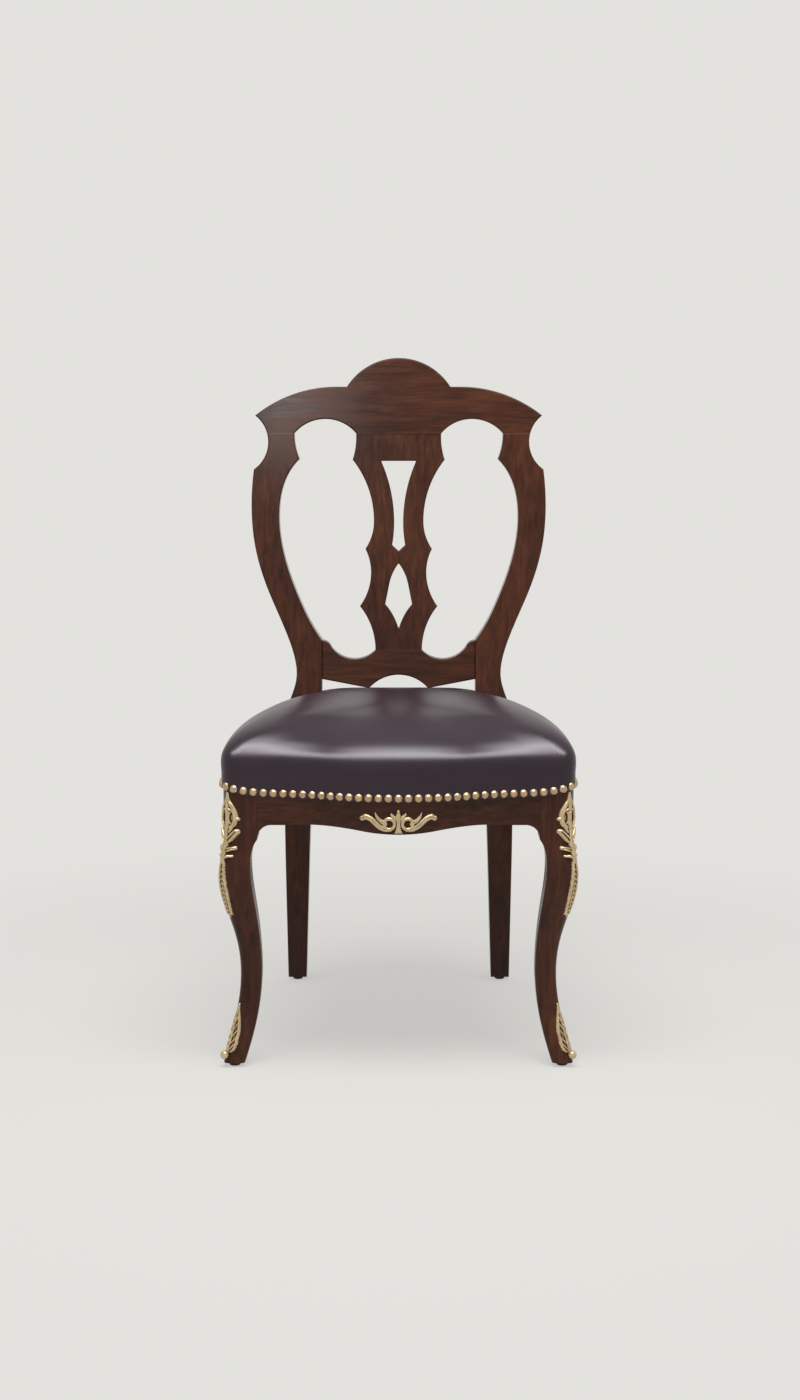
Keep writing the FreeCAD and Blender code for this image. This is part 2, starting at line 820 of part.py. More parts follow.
rear_glide_x = (post_foot_outer + post_foot_inner) / 2
rear_glide_y = rear_foot_front + post_foot_depth / 2
right_post = post_form.cut([
    side_rear_tenon(glue_gap, mortise_end_gap),
    rear_tenon(glue_gap, mortise_end_gap),
    lower_rail_tenon(glue_gap, mortise_end_gap),
    glide_hole(rear_glide_x, rear_glide_y),
] + crest_dowels(glue_gap, mortise_end_gap))
splat_grooves = splat_tongues(glue_gap, mortise_end_gap)
crest_rail = crest_form.cut(crest_dowels(glue_gap, mortise_end_gap) + splat_grooves)
lower_rail_tenons = [lower_rail_tenon(0, 0), mirrored(lower_rail_tenon(0, 0))]
lower_back_rail = lower_rail_form.fuse(lower_rail_tenons).cut(splat_grooves)
back_splat = splat_form.fuse(splat_tongues(0, 0))

# Corner blocks, cut to the shape of the rails and posts round them
block_low = rail_top - block_top_gap - block_height
bolt_z = rail_top - block_top_gap - block_height / 2
front_corner = Vector(front_half_width - rail_thickness / 2, rail_thickness / 2, block_low)
front_block_corners = [front_corner, front_corner - right * block_reach, front_corner + back * block_reach]
rear_corner = Vector(rear_half_width - rail_thickness / 2, seat_back - rear_rail_thickness / 2, block_low)
rear_block_end = side_outer.valueAt(side_outer.getParameterByLength(side_outer.Length - rear_block_reach))
rear_block_corners = [
    rear_corner,
    rear_corner - right * block_reach,
    rear_block_end + side_shift * 0.5 + up * block_low,
]


def corner_block(corners):
    """Three-cornered block in the frame, its bolt hole not yet bored."""
    blank = polygon(corners).extrude(up * block_height)
    return blank.cut([front_rail, right_side_rail, rear_rail, right_leg_form, post_form])


def bolt_line(corners, tip):
    """Start of a bolt on the long face of a block, its direction, and its length to the tip."""
    run = corners[2] - corners[1]
    direction = Vector(run.y, -run.x, 0).normalize()
    if direction.dot(corners[0] - corners[1]) < 0:
        direction = -direction
    reach = (tip - corners[1]).dot(direction)
    start = tip - direction * reach
    return Vector(start.x, start.y, bolt_z), direction, reach


front_tip = Vector(shoulder, leg_block, bolt_z) + outward * bolt_grip
rear_tenon_end = post_inner + tenon_length
side_tenon_start = rear_half_width - (rail_thickness + tenon_thickness) / 2
rear_tip = Vector((rear_tenon_end + side_tenon_start) / 2, seat_depth + rear_bolt_grip, bolt_z)
front_bolt = bolt_line(front_block_corners, front_tip)
rear_bolt = bolt_line(rear_block_corners, rear_tip)


def bolt_solid(spot, gap, end_gap):
    start, direction, reach = spot
    stand_off = washer_thickness + nut_height + bolt_end
    length = stand_off + reach + end_gap
    return rod(bolt_radius + gap, length, start - direction * stand_off, direction)


def washer_solid(spot):
    start, direction, reach = spot
    ring = rod(washer_radius, washer_thickness, start - direction * washer_thickness, direction)
    return ring.cut(bolt_solid(spot, bolt_gap, 0))


def nut_solid(spot):
    start, direction, reach = spot
    base = start - direction * (washer_thickness + nut_height)
    across = direction.cross(up)
    corners = []
    for i in range(6):
        angle = math.radians(60 * i)
        corners.append(base + (across * math.cos(angle) + up * math.sin(angle)) * nut_radius)
    return polygon(corners).extrude(direction * nut_height).cut(bolt_solid(spot, 0, 0))


front_right_block = corner_block(front_block_corners).cut(bolt_solid(front_bolt, bolt_gap, 0))
rear_right_block = corner_block(rear_block_corners).cut(bolt_solid(rear_bolt, bolt_gap, 0))
right_front_leg = right_front_leg.cut(bolt_solid(front_bolt, 0, mortise_end_gap))
right_post = right_post.cut(bolt_solid(rear_bolt, 0, mortise_end_gap))

# Webbing and burlap
frame_inside = seat_sheet(webbing_edge, rail_top, 2 * webbing_thickness)
webbing_first = -webbing_pitch * (webbing_count - 1) / 2
lengthwise_straps = []
for i in range(webbing_count):
    middle = webbing_first + i * webbing_pitch
    x0 = middle - webbing_width / 2
    strap = box(x0, x0 + webbing_width, -far, 2 * far, rail_top, rail_top + webbing_thickness)
    lengthwise_straps.append(strap.common(frame_inside))
step_inner = -webbing_first + webbing_width / 2 + webbing_thickness
step_outer = step_inner + 2 * webbing_width / 3
upper = rail_top + webbing_thickness
strap_line = [
    front(step_inner, upper),
    front(step_outer, rail_top),
    front(far, rail_top),
    front(far, upper),
    front(step_outer, upper),
    front(step_inner, upper + webbing_thickness),
]
strap_outline = polygon(strap_line + [flip(point) for point in strap_line[::-1]])
cross_middle = (leg_block + seat_depth) / 2
cross_first = cross_middle - cross_webbing_pitch * (webbing_count - 1) / 2
cross_straps = []
for i in range(webbing_count):
    start = cross_first + i * cross_webbing_pitch - webbing_width / 2
    strap = strap_outline.translated(back * start).extrude(back * webbing_width)
    cross_straps.append(strap.common(frame_inside))
burlap_low = rail_top + 2 * webbing_thickness
notch_low = rail_bottom
notch_high = rail_top + far
post_notch = box(
    post_inner - post_notch_gap, far, seat_depth - post_notch_gap, 2 * far, notch_low, notch_high
)
post_notches = [post_notch, mirrored(post_notch)]
seat_burlap = seat_sheet(burlap_edge, burlap_low, burlap_thickness).cut(post_notches)


# Seat pad and leather
def cushion(grow):
    """Stuffed seat from the rail tops up to its crown, with its skin moved out."""
    wires = []
    profile = [(share * crown_inset, rise) for share, rise in cushion_line]
    last = len(profile) - 1
    for i, (inset, rise) in enumerate(profile):
        before = profile[max(i - 1, 0)]
        after = profile[min(i + 1, last)]
        slope = Vector(after[1] - before[1], before[0] - after[0], 0).normalize()
        lift = 0 if i == 0 else -slope.y * grow
        wires.append(seat_outline(inset - slope.x * grow, rail_top + rise + lift))
    return Part.makeLoft(wires, True)


def edge_rise(x):
    """How far the lower edge of the leather rises towards the front corners."""
    radius = (hem_rise_reach ** 2 + hem_rise ** 2) / (2 * hem_rise)
    reach = max(0, abs(x) - hem_rise_start)
    return radius - math.sqrt(radius ** 2 - reach ** 2)


hem = nail_line - leather_hem
hem_end = front_half_width + leather_gap + 2 * leather
hem_half = [
    line(front(0, hem), front(hem_rise_start, hem)),
    bend(front(hem_rise_start, hem), right, front(hem_end, hem + edge_rise(hem_end))),
    line(front(hem_end, hem + edge_rise(hem_end)), front(hem_end, notch_high)),
    line(front(hem_end, notch_high), front(0, notch_high)),
]
above_hem = through(face(hem_half + [mirrored(edge) for edge in hem_half[::-1]]))
skirt_low = hem - leather_hem
skirt_depth = rail_top - skirt_low
cushion_inside = cushion(leather_gap)
pad_space = box(-far, far, -far, 2 * far, burlap_low + burlap_thickness, notch_high)
seat_pad = cushion_inside.common(pad_space).cut(post_notches)
leather_skirt = seat_sheet(-leather_gap - leather, skirt_low, skirt_depth).common(above_hem)
leather_skirt = leather_skirt.cut([seat_sheet(-leather_gap, skirt_low, skirt_depth)] + post_notches)
leather_top = cushion(leather_gap + leather).cut([cushion_inside] + post_notches)


# Upholstery nails
def dome_nail(head_radius, head_height, shank_radius, length, point):
    """Domed nail with the underside of its head at the origin, pointing down."""
    rim = front(head_radius, 0)
    shank_top = front(shank_radius, 0)
    shank_low = front(shank_radius, point - length)
    tip = front(0, -length)
    crown = front(0, head_height)
    profile = face([
        bend(crown, right, rim),
        line(rim, shank_top),
        line(shank_top, shank_low),
        line(shank_low, tip),
        line(tip, crown),
    ])
    return profile.revolve(Vector(0, 0, 0), up, 360)


upholstery_nail = dome_nail(nail_head_radius, nail_head_height, nail_shank_radius, nail_length, nail_point)


def placed(shape, spot, direction):
    moved = shape.copy()
    moved.Placement = FreeCAD.Placement(spot, Rotation(up, direction))
    return moved


def nail_spots(path):
    """Evenly spaced places along a path, with the directions square to it."""
    count = round(path.Length / nail_pitch)
    points = path.discretize(Number=2 * count + 1)
    spots = []
    for i in range(count):
        run = (points[2 * i + 2] - points[2 * i]).normalize()
        spot = points[2 * i + 1]
        spots.append((spot + up * edge_rise(spot.x), run.cross(up)))
    return spots


nail_wire = seat_outline(-leather_gap - leather, nail_line)
front_spots = nail_spots(Part.Wire([nail_wire.Edges[i] for i in (11, 12, 13, 0, 1, 2, 3)]))
right_spots = nail_spots(Part.Wire([nail_wire.Edges[i] for i in (4, 5)]))
right_spots = [spot for spot in right_spots if spot[0].y < seat_depth - nail_head_radius]
left_spots = [(flip(spot), flip(direction)) for spot, direction in right_spots]
rear_start = Vector(post_inner - post_notch_gap, seat_back + leather_gap + leather, nail_line)
rear_spots = nail_spots(Part.Wire([line(rear_start, flip(rear_start))]))


def nails(spots):
    return [placed(upholstery_nail, spot, direction) for spot, direction in spots]


def holes(radius, length, spots):
    """Holes for nails or pins, begun a little outside the surface that they go through."""
    return [rod(radius, 2 * length, spot + direction * length, -direction) for spot, direction in spots]


def nail_holes(spots):
    return holes(nail_shank_radius, nail_length, spots)


leather_skirt = leather_skirt.cut(nail_holes(front_spots + left_spots + right_spots + rear_spots))
seat_leather = leather_top.fuse([leather_skirt], join_tolerance)
front_rail = front_rail.cut(nail_holes([spot for spot in front_spots if abs(spot[0].x) < shoulder]))
leg_spots = [spot for spot in front_spots if spot[0].x > shoulder]
leg_spots += [spot for spot in right_spots if spot[0].y < leg_block]
right_front_leg = right_front_leg.cut(nail_holes(leg_spots))
right_side_rail = right_side_rail.cut(nail_holes([spot for spot in right_spots if spot[0].y > leg_block]))
rear_rail = rear_rail.cut(nail_holes(rear_spots))

# Gilt mounts on the right front leg, drawn along its diagonal
leg_axis = Vector(front_half_width - leg_block / 2, leg_block / 2, 0)
grown_leg = leg_form(mount_thickness)
arris_x = front_half_width - corner_radius * (1 - math.sqrt(0.5))
knee_top = nail_line + edge_rise(arris_x) - nail_head_radius - knee_mount_gap


def on_leg(across, z):
    return leg_axis + along * across + up * z


def on_leg_solid(edges):
    """Skin of metal on the outer faces of the leg, inside an outline."""
    return face(edges).extrude(outward * leg_block).common(grown_leg).cut(right_leg_form)


def knee_edge(hand):
    points = [on_leg(0, knee_top)]
    points += [on_leg(hand * half, knee_top - drop) for drop, half in knee_mount_line]
    points.append(on_leg(hand * knee_mount_end_half, knee_top - knee_mount_length))
    return curve(points, along * hand - up, -up)


def sabot_edge(hand):
    points = [on_leg(hand * half, glide_height + rise) for rise, half in sabot_line]
    points.append(on_leg(0, glide_height + sabot_height))
    return curve(points, up + along * hand, up - along * hand * 0.3)


knee_end = knee_top - knee_mount_length
knee_mount = on_leg_solid([
    knee_edge(1),
    arc(
        on_leg(knee_mount_end_half, knee_end),
        on_leg(0, knee_end - knee_mount_end_half),
        on_leg(-knee_mount_end_half, knee_end),
    ),
    knee_edge(-1),
])
sabot_low, sabot_low_half = sabot_line[0]
sabot_foot = line(
    on_leg(-sabot_low_half, glide_height + sabot_low),
    on_leg(sabot_low_half, glide_height + sabot_low),
)
sole_arris = leg_stations[-1][3]
toe_inset = sole_arris - sole_overhang
toe_centre = Vector(front_half_width - toe_inset, toe_inset, glide_height + toe_ball_rise)
toe_reach = sole_arris + mount_thickness / 2
toe_neck_end = toe_reach - math.sqrt(toe_ball_radius ** 2 - toe_neck_radius ** 2)
toe_ball_top = front(toe_ball_radius, toe_reach)
toe_ball_end = front(0, toe_reach + toe_ball_radius)
toe_knob = face([
    line(front(0, 0), front(toe_neck_radius, 0)),
    line(front(toe_neck_radius, 0), front(toe_neck_radius, toe_neck_end)),
    bend_in(front(toe_neck_radius, toe_neck_end), toe_ball_top, up),
    bend(toe_ball_top, up, toe_ball_end),
    line(toe_ball_end, front(0, 0)),
]).revolve(Vector(0, 0, 0), up, 360)
sabot_plate = on_leg_solid([sabot_foot, sabot_edge(1), sabot_edge(-1)])

# Gilt mount in the middle of the apron
apron_base = rail_bottom - front_rail_belly + apron_mount_lift


def on_apron(x, z):
    return front(x, apron_base + z)


volute_low = apron_mount_volute_rise - apron_mount_volute_radius
arm_root = volute_low + apron_mount_arm
arm_end = apron_mount_half - apron_mount_arm / 2
arm_top = apron_mount_arm_rise + apron_mount_arm
apron_foot = through(polygon([
    on_apron(-apron_mount_base, 0),
    on_apron(apron_mount_base, 0),
    on_apron(apron_mount_foot_half, volute_low),
    on_apron(-apron_mount_foot_half, volute_low),
]))
leaf_edge = arc(
    on_apron(0, apron_mount_height),
    on_apron(apron_mount_leaf_half, apron_mount_height / 2),
    on_apron(0, 0),
)
middle_leaf = through(face([leaf_edge, mirrored(leaf_edge)]))
apron_leaves = [middle_leaf]
for spread in (-apron_mount_leaf_spread, apron_mount_leaf_spread):
    apron_leaves.append(middle_leaf.rotated(on_apron(0, volute_low), back, spread))
apron_arm = through(face([
    bend(on_apron(apron_mount_volute_half, volute_low), right, on_apron(arm_end, apron_mount_arm_rise)),
    arc(
        on_apron(arm_end, apron_mount_arm_rise),
        on_apron(apron_mount_half, apron_mount_arm_rise + apron_mount_arm / 2),
        on_apron(arm_end, arm_top),
    ),
    bend_in(on_apron(arm_end, arm_top), on_apron(apron_mount_volute_half, arm_root), -right),
    line(on_apron(apron_mount_volute_half, arm_root), on_apron(apron_mount_volute_half, volute_low)),
]))
volute_base = on_apron(apron_mount_volute_half, apron_mount_volute_rise) - back * far
volute = rod(apron_mount_volute_radius, 2 * far, volute_base, back)
volute_hole = rod(apron_mount_volute_hole, 2 * far, volute_base, back)
apron_form = apron_foot.fuse(apron_leaves + [apron_arm, mirrored(apron_arm), volute, mirrored(volute)])
apron_form = apron_form.cut([volute_hole, mirrored(volute_hole)])
apron_mount = apron_form.common(serpentine_band(-mount_thickness, mount_thickness))

# Pins that hold the mounts
mount_pin = dome_nail(pin_head_radius, pin_head_height, pin_radius, pin_length, pin_radius)


def pin_spot(mount, inside, direction):
    """Where a line from inside the chair comes out through a mount."""
    ends = mount.common(line(inside, inside + direction * far)).Vertexes
    last = max(ends, key=lambda end: end.Point.dot(direction))
    return last.Point, direction


def pin_holes(spots):
    return holes(pin_radius, pin_length, spots)


knee_pins = [pin_spot(knee_mount, on_leg(0, knee_top - drop), outward) for drop in knee_pin_drops]
sabot_pin_start = toe_centre + up * (sabot_pin_rise - toe_ball_rise) - outward * sole_half
sabot_pins = [pin_spot(sabot_plate, sabot_pin_start, outward)]
apron_pin_z = apron_mount_arm_rise + apron_mount_arm / 2
apron_pins = [pin_spot(apron_mount, on_apron(arm_end, apron_pin_z), -back)]
apron_pins += [(flip(spot), direction) for spot, direction in apron_pins]
right_front_leg = right_front_leg.cut(pin_holes(knee_pins + sabot_pins))
knee_mount = knee_mount.cut(pin_holes(knee_pins))
toe_knob = placed(toe_knob, toe_centre, outward).cut(right_leg_form)
sabot = sabot_plate.cut(pin_holes(sabot_pins)).fuse(toe_knob)
apron_mount = apron_mount.cut(pin_holes(apron_pins))
front_rail = front_rail.cut(pin_holes(apron_pins))
leg_pins = [placed(mount_pin, spot, direction) for spot, direction in knee_pins + sabot_pins]

# Every piece by name, in pairs where the chair has one on each side
front_glide = glide(front_glide_x, front_glide_y)
rear_glide = glide(rear_glide_x, rear_glide_y)
pairs = {
    "front_leg": right_front_leg,
    "rear_post": right_post,
    "side_rail": right_side_rail,
    "front_block": front_right_block,
    "rear_block": rear_right_block,
    "knee_mount": knee_mount,
    "sabot": sabot,
    "front_glide": front_glide,
    "rear_glide": rear_glide,
}
bolts = [bolt_solid(spot, 0, 0) for spot in (front_bolt, rear_bolt)]
washers = [washer_solid(spot) for spot in (front_bolt, rear_bolt)]
nuts = [nut_solid(spot) for spot in (front_bolt, rear_bolt)]
pieces = {
    "crest_rail": [crest_rail],
    "back_splat": [back_splat],
    "lower_back_rail": [lower_back_rail],
    "front_rail": [front_rail],
    "rear_rail": [rear_rail],
    "crest_dowels": crest_dowels(0, 0),
    "block_bolts": bolts + [mirrored(bolt) for bolt in bolts],
    "block_washers": washers + [mirrored(washer) for washer in washers],
    "block_nuts": nuts + [mirrored(nut) for nut in nuts],
    "lengthwise_webbing": lengthwise_straps,
    "cross_webbing": cross_straps,
    "seat_burlap": [seat_burlap],
    "seat_pad": [seat_pad],
    "seat_leather": [seat_leather],
    "front_nails": nails(front_spots),
    "left_nails": nails(left_spots),
    "right_nails": nails(right_spots),
    "rear_nails": nails(rear_spots),
    "apron_mount": [apron_mount],
    "mount_pins": leg_pins
    + [mirrored(pin) for pin in leg_pins]
    + [placed(mount_pin, spot, direction) for spot, direction in apron_pins],
}
for name, solid in pairs.items():
    pieces["right_" + name] = [solid]
    pieces["left_" + name] = [mirrored(solid)]

# The chair's box runs from its foremost nails to the back of the crest rail
front_limit = Part.makeCompound(pieces["front_nails"]).optimalBoundingBox(False, False).YMin
back_limit = crest_rail.optimalBoundingBox(False, False).YMax
to_centre = -back * ((front_limit + back_limit) / 2)

os.makedirs("parts", exist_ok=True)
for name, solids in pieces.items():
    Part.makeCompound(solids).translated(to_centre).exportStep("parts/" + name + ".step")
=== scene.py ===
"""Looks of the side chair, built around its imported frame."""

import math

import bpy
import numpy as np
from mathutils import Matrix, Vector
from mathutils.bvhtree import BVHTree


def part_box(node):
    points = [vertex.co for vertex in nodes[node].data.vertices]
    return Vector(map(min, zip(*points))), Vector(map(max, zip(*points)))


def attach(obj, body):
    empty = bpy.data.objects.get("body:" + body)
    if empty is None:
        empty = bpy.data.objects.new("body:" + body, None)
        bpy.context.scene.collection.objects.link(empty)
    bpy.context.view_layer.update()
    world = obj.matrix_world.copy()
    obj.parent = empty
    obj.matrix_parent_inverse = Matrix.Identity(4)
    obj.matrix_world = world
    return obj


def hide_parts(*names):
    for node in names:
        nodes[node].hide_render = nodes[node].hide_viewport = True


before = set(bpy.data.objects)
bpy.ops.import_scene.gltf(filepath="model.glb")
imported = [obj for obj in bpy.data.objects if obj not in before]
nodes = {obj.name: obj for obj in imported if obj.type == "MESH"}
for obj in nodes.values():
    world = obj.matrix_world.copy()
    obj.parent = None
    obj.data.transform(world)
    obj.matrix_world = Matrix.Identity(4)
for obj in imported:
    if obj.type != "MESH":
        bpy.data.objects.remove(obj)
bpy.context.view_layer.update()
scene = bpy.context.scene
MM = 0.001


# Materials
class Surface:
    """Node tree of a material with one principled shader."""

    def __init__(self, name, **values):
        self.material = bpy.data.materials.new(name)
        self.material.use_nodes = True
        self.tree = self.material.node_tree
        self.tree.nodes.clear()
        self.shader = self.add("ShaderNodeBsdfPrincipled", values)
        output = self.add("ShaderNodeOutputMaterial")
        self.tree.links.new(self.shader.outputs[0], output.inputs["Surface"])
        self.place = self.add("ShaderNodeTexCoord").outputs["Object"]

    def add(self, kind, inputs=None, **settings):
        node = self.tree.nodes.new(kind)
        for key, value in settings.items():
            setattr(node, key, value)
        for key, value in (inputs or {}).items():
            self.join(node.inputs[key], value)
        return node

    def join(self, socket, value):
        if isinstance(value, bpy.types.NodeSocket):
            self.tree.links.new(value, socket)
        else:
            socket.default_value = value

    def mapped(self, scale):
        return self.add("ShaderNodeMapping", {"Vector": self.place, "Scale": scale}).outputs[0]

    def noise(self, vector, scale, detail=4.0, roughness=0.55, distortion=0.0):
        node = self.add("ShaderNodeTexNoise", {
            "Vector": vector, "Scale": scale, "Detail": detail,
            "Roughness": roughness, "Distortion": distortion,
        })
        return node.outputs["Fac"]

    def spread(self, value, low, high, to_low=0.0, to_high=1.0):
        return self.add("ShaderNodeMapRange", {
            "Value": value, "From Min": low, "From Max": high, "To Min": to_low, "To Max": to_high,
        }).outputs[0]

    def math(self, operation, a, b=0.0):
        return self.add("ShaderNodeMath", {0: a, 1: b}, operation=operation).outputs[0]

    def ramp(self, value, *stops):
        node = self.add("ShaderNodeValToRGB", {"Fac": value})
        elements = node.color_ramp.elements
        while len(elements) < len(stops):
            elements.new(0.5)
        for element, (place, colour) in zip(elements, stops):
            element.position = place
            element.color = (*colour, 1.0)
        return node.outputs["Color"]

    def mix(self, factor, a, b, blend="MIX"):
        node = self.add("ShaderNodeMix", data_type="RGBA", blend_type=blend)
        self.join(node.inputs[0], factor)
        self.join(node.inputs[6], a if isinstance(a, bpy.types.NodeSocket) else (*a, 1.0))
        self.join(node.inputs[7], b if isinstance(b, bpy.types.NodeSocket) else (*b, 1.0))
        return node.outputs[2]

    def bump(self, height, strength, distance, under=None):
        inputs = {"Height": height, "Strength": strength, "Distance": distance}
        if under:
            inputs["Normal"] = under
        return self.add("ShaderNodeBump", inputs).outputs[0]

    def finish(self, colour, roughness, normal):
        self.join(self.shader.inputs["Base Color"], colour)
        self.join(self.shader.inputs["Roughness"], roughness)
        self.join(self.shader.inputs["Normal"], normal)
        return self.material


def wood(name, grain, dark, middle, light, gloss, seam_highlights):
    """Timber with its grain along an axis: streaks, pores and an old, slightly uneven polish.

    A thin lighter line is painted along the joints as a painted highlight; the joints are given by height
    and half width.
    """
    surface = Surface(name, **{"Specular IOR Level": 0.22})
    long_scale = [1.0, 1.0, 1.0]
    long_scale["xyz".index(grain)] = 0.09
    pore_scale = [1.0, 1.0, 1.0]
    pore_scale["xyz".index(grain)] = 0.035
    stretched = surface.mapped(long_scale)
    broad = surface.noise(stretched, 17.0, 3.0, 0.5, 0.6)
    streak = surface.noise(stretched, 150.0, 8.0, 0.66, 0.2)
    patina = surface.noise(surface.place, 7.0, 4.0, 0.6)
    pores = surface.noise(surface.mapped(pore_scale), 1300.0, 2.0, 0.5)
    figure = surface.math(
        "ADD", surface.math("MULTIPLY", broad, 0.38), surface.math("MULTIPLY", streak, 0.62)
    )
    colour = surface.ramp(figure, (0.36, dark), (0.5, middle), (0.66, light))
    shade = surface.ramp(patina, (0.32, (0.72, 0.69, 0.68)), (0.68, (1.0, 1.0, 1.0)))
    colour = surface.mix(0.8, colour, shade, "MULTIPLY")
    pore_mask = surface.spread(pores, 0.56, 0.72)
    colour = surface.mix(surface.math("MULTIPLY", pore_mask, 0.55), colour, dark)
    x, _, z = surface.add("ShaderNodeSeparateXYZ", {0: surface.place}).outputs
    # Painted highlight: a thin lighter line along each joint
    for height, half in seam_highlights:
        gap = surface.math("ABSOLUTE", surface.math("SUBTRACT", z, height))
        within = surface.math("LESS_THAN", surface.math("ABSOLUTE", x), half)
        line = surface.math("MULTIPLY", surface.spread(gap, 0.0003, 0.0011, 0.4, 0.0), within)
        colour = surface.mix(line, colour, [1.8 * c + 0.03 for c in light])
    roughness = surface.spread(surface.math("ADD", streak, patina), 0.6, 1.4, gloss, gloss + 0.14)
    hollows = surface.bump(pores, -0.06, 0.0002)
    normal = surface.bump(streak, 0.03, 0.0004, hollows)
    return surface.finish(colour, roughness, normal)


def leather(name):
    """Smooth upholstery leather with a fine grain and a worn satin polish."""
    surface = Surface(name, **{"Specular IOR Level": 0.38})
    cloud = surface.noise(surface.place, 9.0, 4.0, 0.6)
    cells = surface.add("ShaderNodeTexVoronoi", {"Vector": surface.place, "Scale": 950.0}, feature="F1")
    grain = cells.outputs["Distance"]
    crease = surface.noise(surface.place, 260.0, 5.0, 0.6, 0.8)
    colour = surface.ramp(cloud, (0.3, (0.018, 0.0052, 0.0145)), (0.7, (0.028, 0.0100, 0.0235)))
    colour = surface.mix(surface.spread(grain, 0.1, 0.75, 0.0, 0.35), colour, (0.013, 0.004, 0.011))
    roughness = surface.spread(surface.math("ADD", cloud, crease), 0.7, 1.3, 0.29, 0.35)
    pebble = surface.bump(grain, -0.16, 0.0004)
    normal = surface.bump(crease, 0.05, 0.0008, pebble)
    return surface.finish(colour, roughness, normal)


def metal(name, bright, worn, patina, gloss, shade_depth=None):
    """Old metal: bright where it is rubbed, brown where dirt lodges in the hollows.

    The hollows are those marked on the mesh by its relief, where dirt lodges. Given a depth, ambient
    occlusion finds them instead, and the brown there is partly dirt and partly painted shade where the
    metal meets wood and leather.
    """
    surface = Surface(name, **{"Metallic": 1.0})
    cloud = surface.noise(surface.place, 130.0, 5.0, 0.6)
    speck = surface.noise(surface.place, 900.0, 3.0, 0.6)
    colour = surface.ramp(cloud, (0.35, worn), (0.65, bright))
    # With a depth, the brown follows ambient occlusion: partly dirt, partly painted shade at the rims.
    if shade_depth:
        rubbed_and_unshaded = surface.add("ShaderNodeAmbientOcclusion", {"Distance": shade_depth}, samples=8).outputs["AO"]
    else:
        rubbed_and_unshaded = surface.add("ShaderNodeAttribute", attribute_name="rubbed_and_unshaded").outputs["Fac"]
    worn_and_unshaded = surface.math("ADD", rubbed_and_unshaded, surface.math("MULTIPLY", speck, 0.25))
    dirt_and_shade = surface.spread(worn_and_unshaded, 0.22, 0.62, 1.0, 0.0)
    colour = surface.mix(dirt_and_shade, colour, patina)
    roughness = surface.spread(surface.math("ADD", cloud, dirt_and_shade), 0.4, 1.4, gloss, gloss + 0.3)
    normal = surface.bump(speck, 0.1, 0.0003, surface.bump(cloud, 0.08, 0.0008))
    return surface.finish(colour, roughness, normal)


def woven(name, pale, deep, thread):
    """Coarse plain weave seen in its threads."""
    surface = Surface(name, **{"Sheen Weight": 0.2})
    waves = []
    for axis in "XY":
        wave = surface.add("ShaderNodeTexWave", {
            "Vector": surface.place, "Scale": 0.05 / thread, "Distortion": 1.2,
            "Detail": 2.0, "Detail Scale": 3.0,
        }, bands_direction=axis)
        waves.append(wave.outputs["Fac"])
    weave = surface.math("MULTIPLY", waves[0], waves[1])
    fibre = surface.noise(surface.place, 500.0, 5.0, 0.65)
    colour = surface.mix(surface.spread(weave, 0.0, 0.6), deep, pale)
    colour = surface.mix(surface.spread(fibre, 0.35, 0.7, 0.0, 0.5), colour, deep)
    normal = surface.bump(fibre, 0.3, 0.0005, surface.bump(weave, 0.8, 0.001))
    return surface.finish(colour, 0.9, normal)


def dull(name, pale, deep, roughness):
    """Plain hard material with a faintly scuffed skin."""
    surface = Surface(name)
    scuff = surface.noise(surface.place, 220.0, 5.0, 0.65)
    colour = surface.mix(surface.spread(scuff, 0.35, 0.7), deep, pale)
    rough = surface.spread(scuff, 0.3, 0.7, roughness - 0.1, roughness + 0.1)
    return surface.finish(colour, rough, surface.bump(scuff, 0.15, 0.0005))


def brushed(name):
    """Plain steel with fine turning marks."""
    surface = Surface(name, **{"Metallic": 1.0})
    marks = surface.noise(surface.mapped((1.0, 1.0, 14.0)), 260.0, 4.0, 0.6)
    cloud = surface.noise(surface.place, 60.0, 4.0, 0.6)
    colour = surface.ramp(cloud, (0.3, (0.30, 0.29, 0.28)), (0.7, (0.50, 0.50, 0.50)))
    rough = surface.spread(marks, 0.3, 0.7, 0.28, 0.46)
    return surface.finish(colour, rough, surface.bump(marks, 0.12, 0.0003))


# Dark, middle and light tones of the woods; bright, worn and dirty tones of the metals
MAHOGANY = ((0.027, 0.0074, 0.0036), (0.064, 0.0176, 0.0074), (0.116, 0.034, 0.0125))
MAHOGANY_GLOSS = 0.10
# Height and half width of the joints, each with a painted highlight line
MAHOGANY_SEAM_HIGHLIGHTS = ((0.8818, 0.23), (0.5448, 0.038))
BEECH = ((0.30, 0.17, 0.085), (0.40, 0.25, 0.13), (0.50, 0.33, 0.19))
BEECH_GLOSS = 0.55
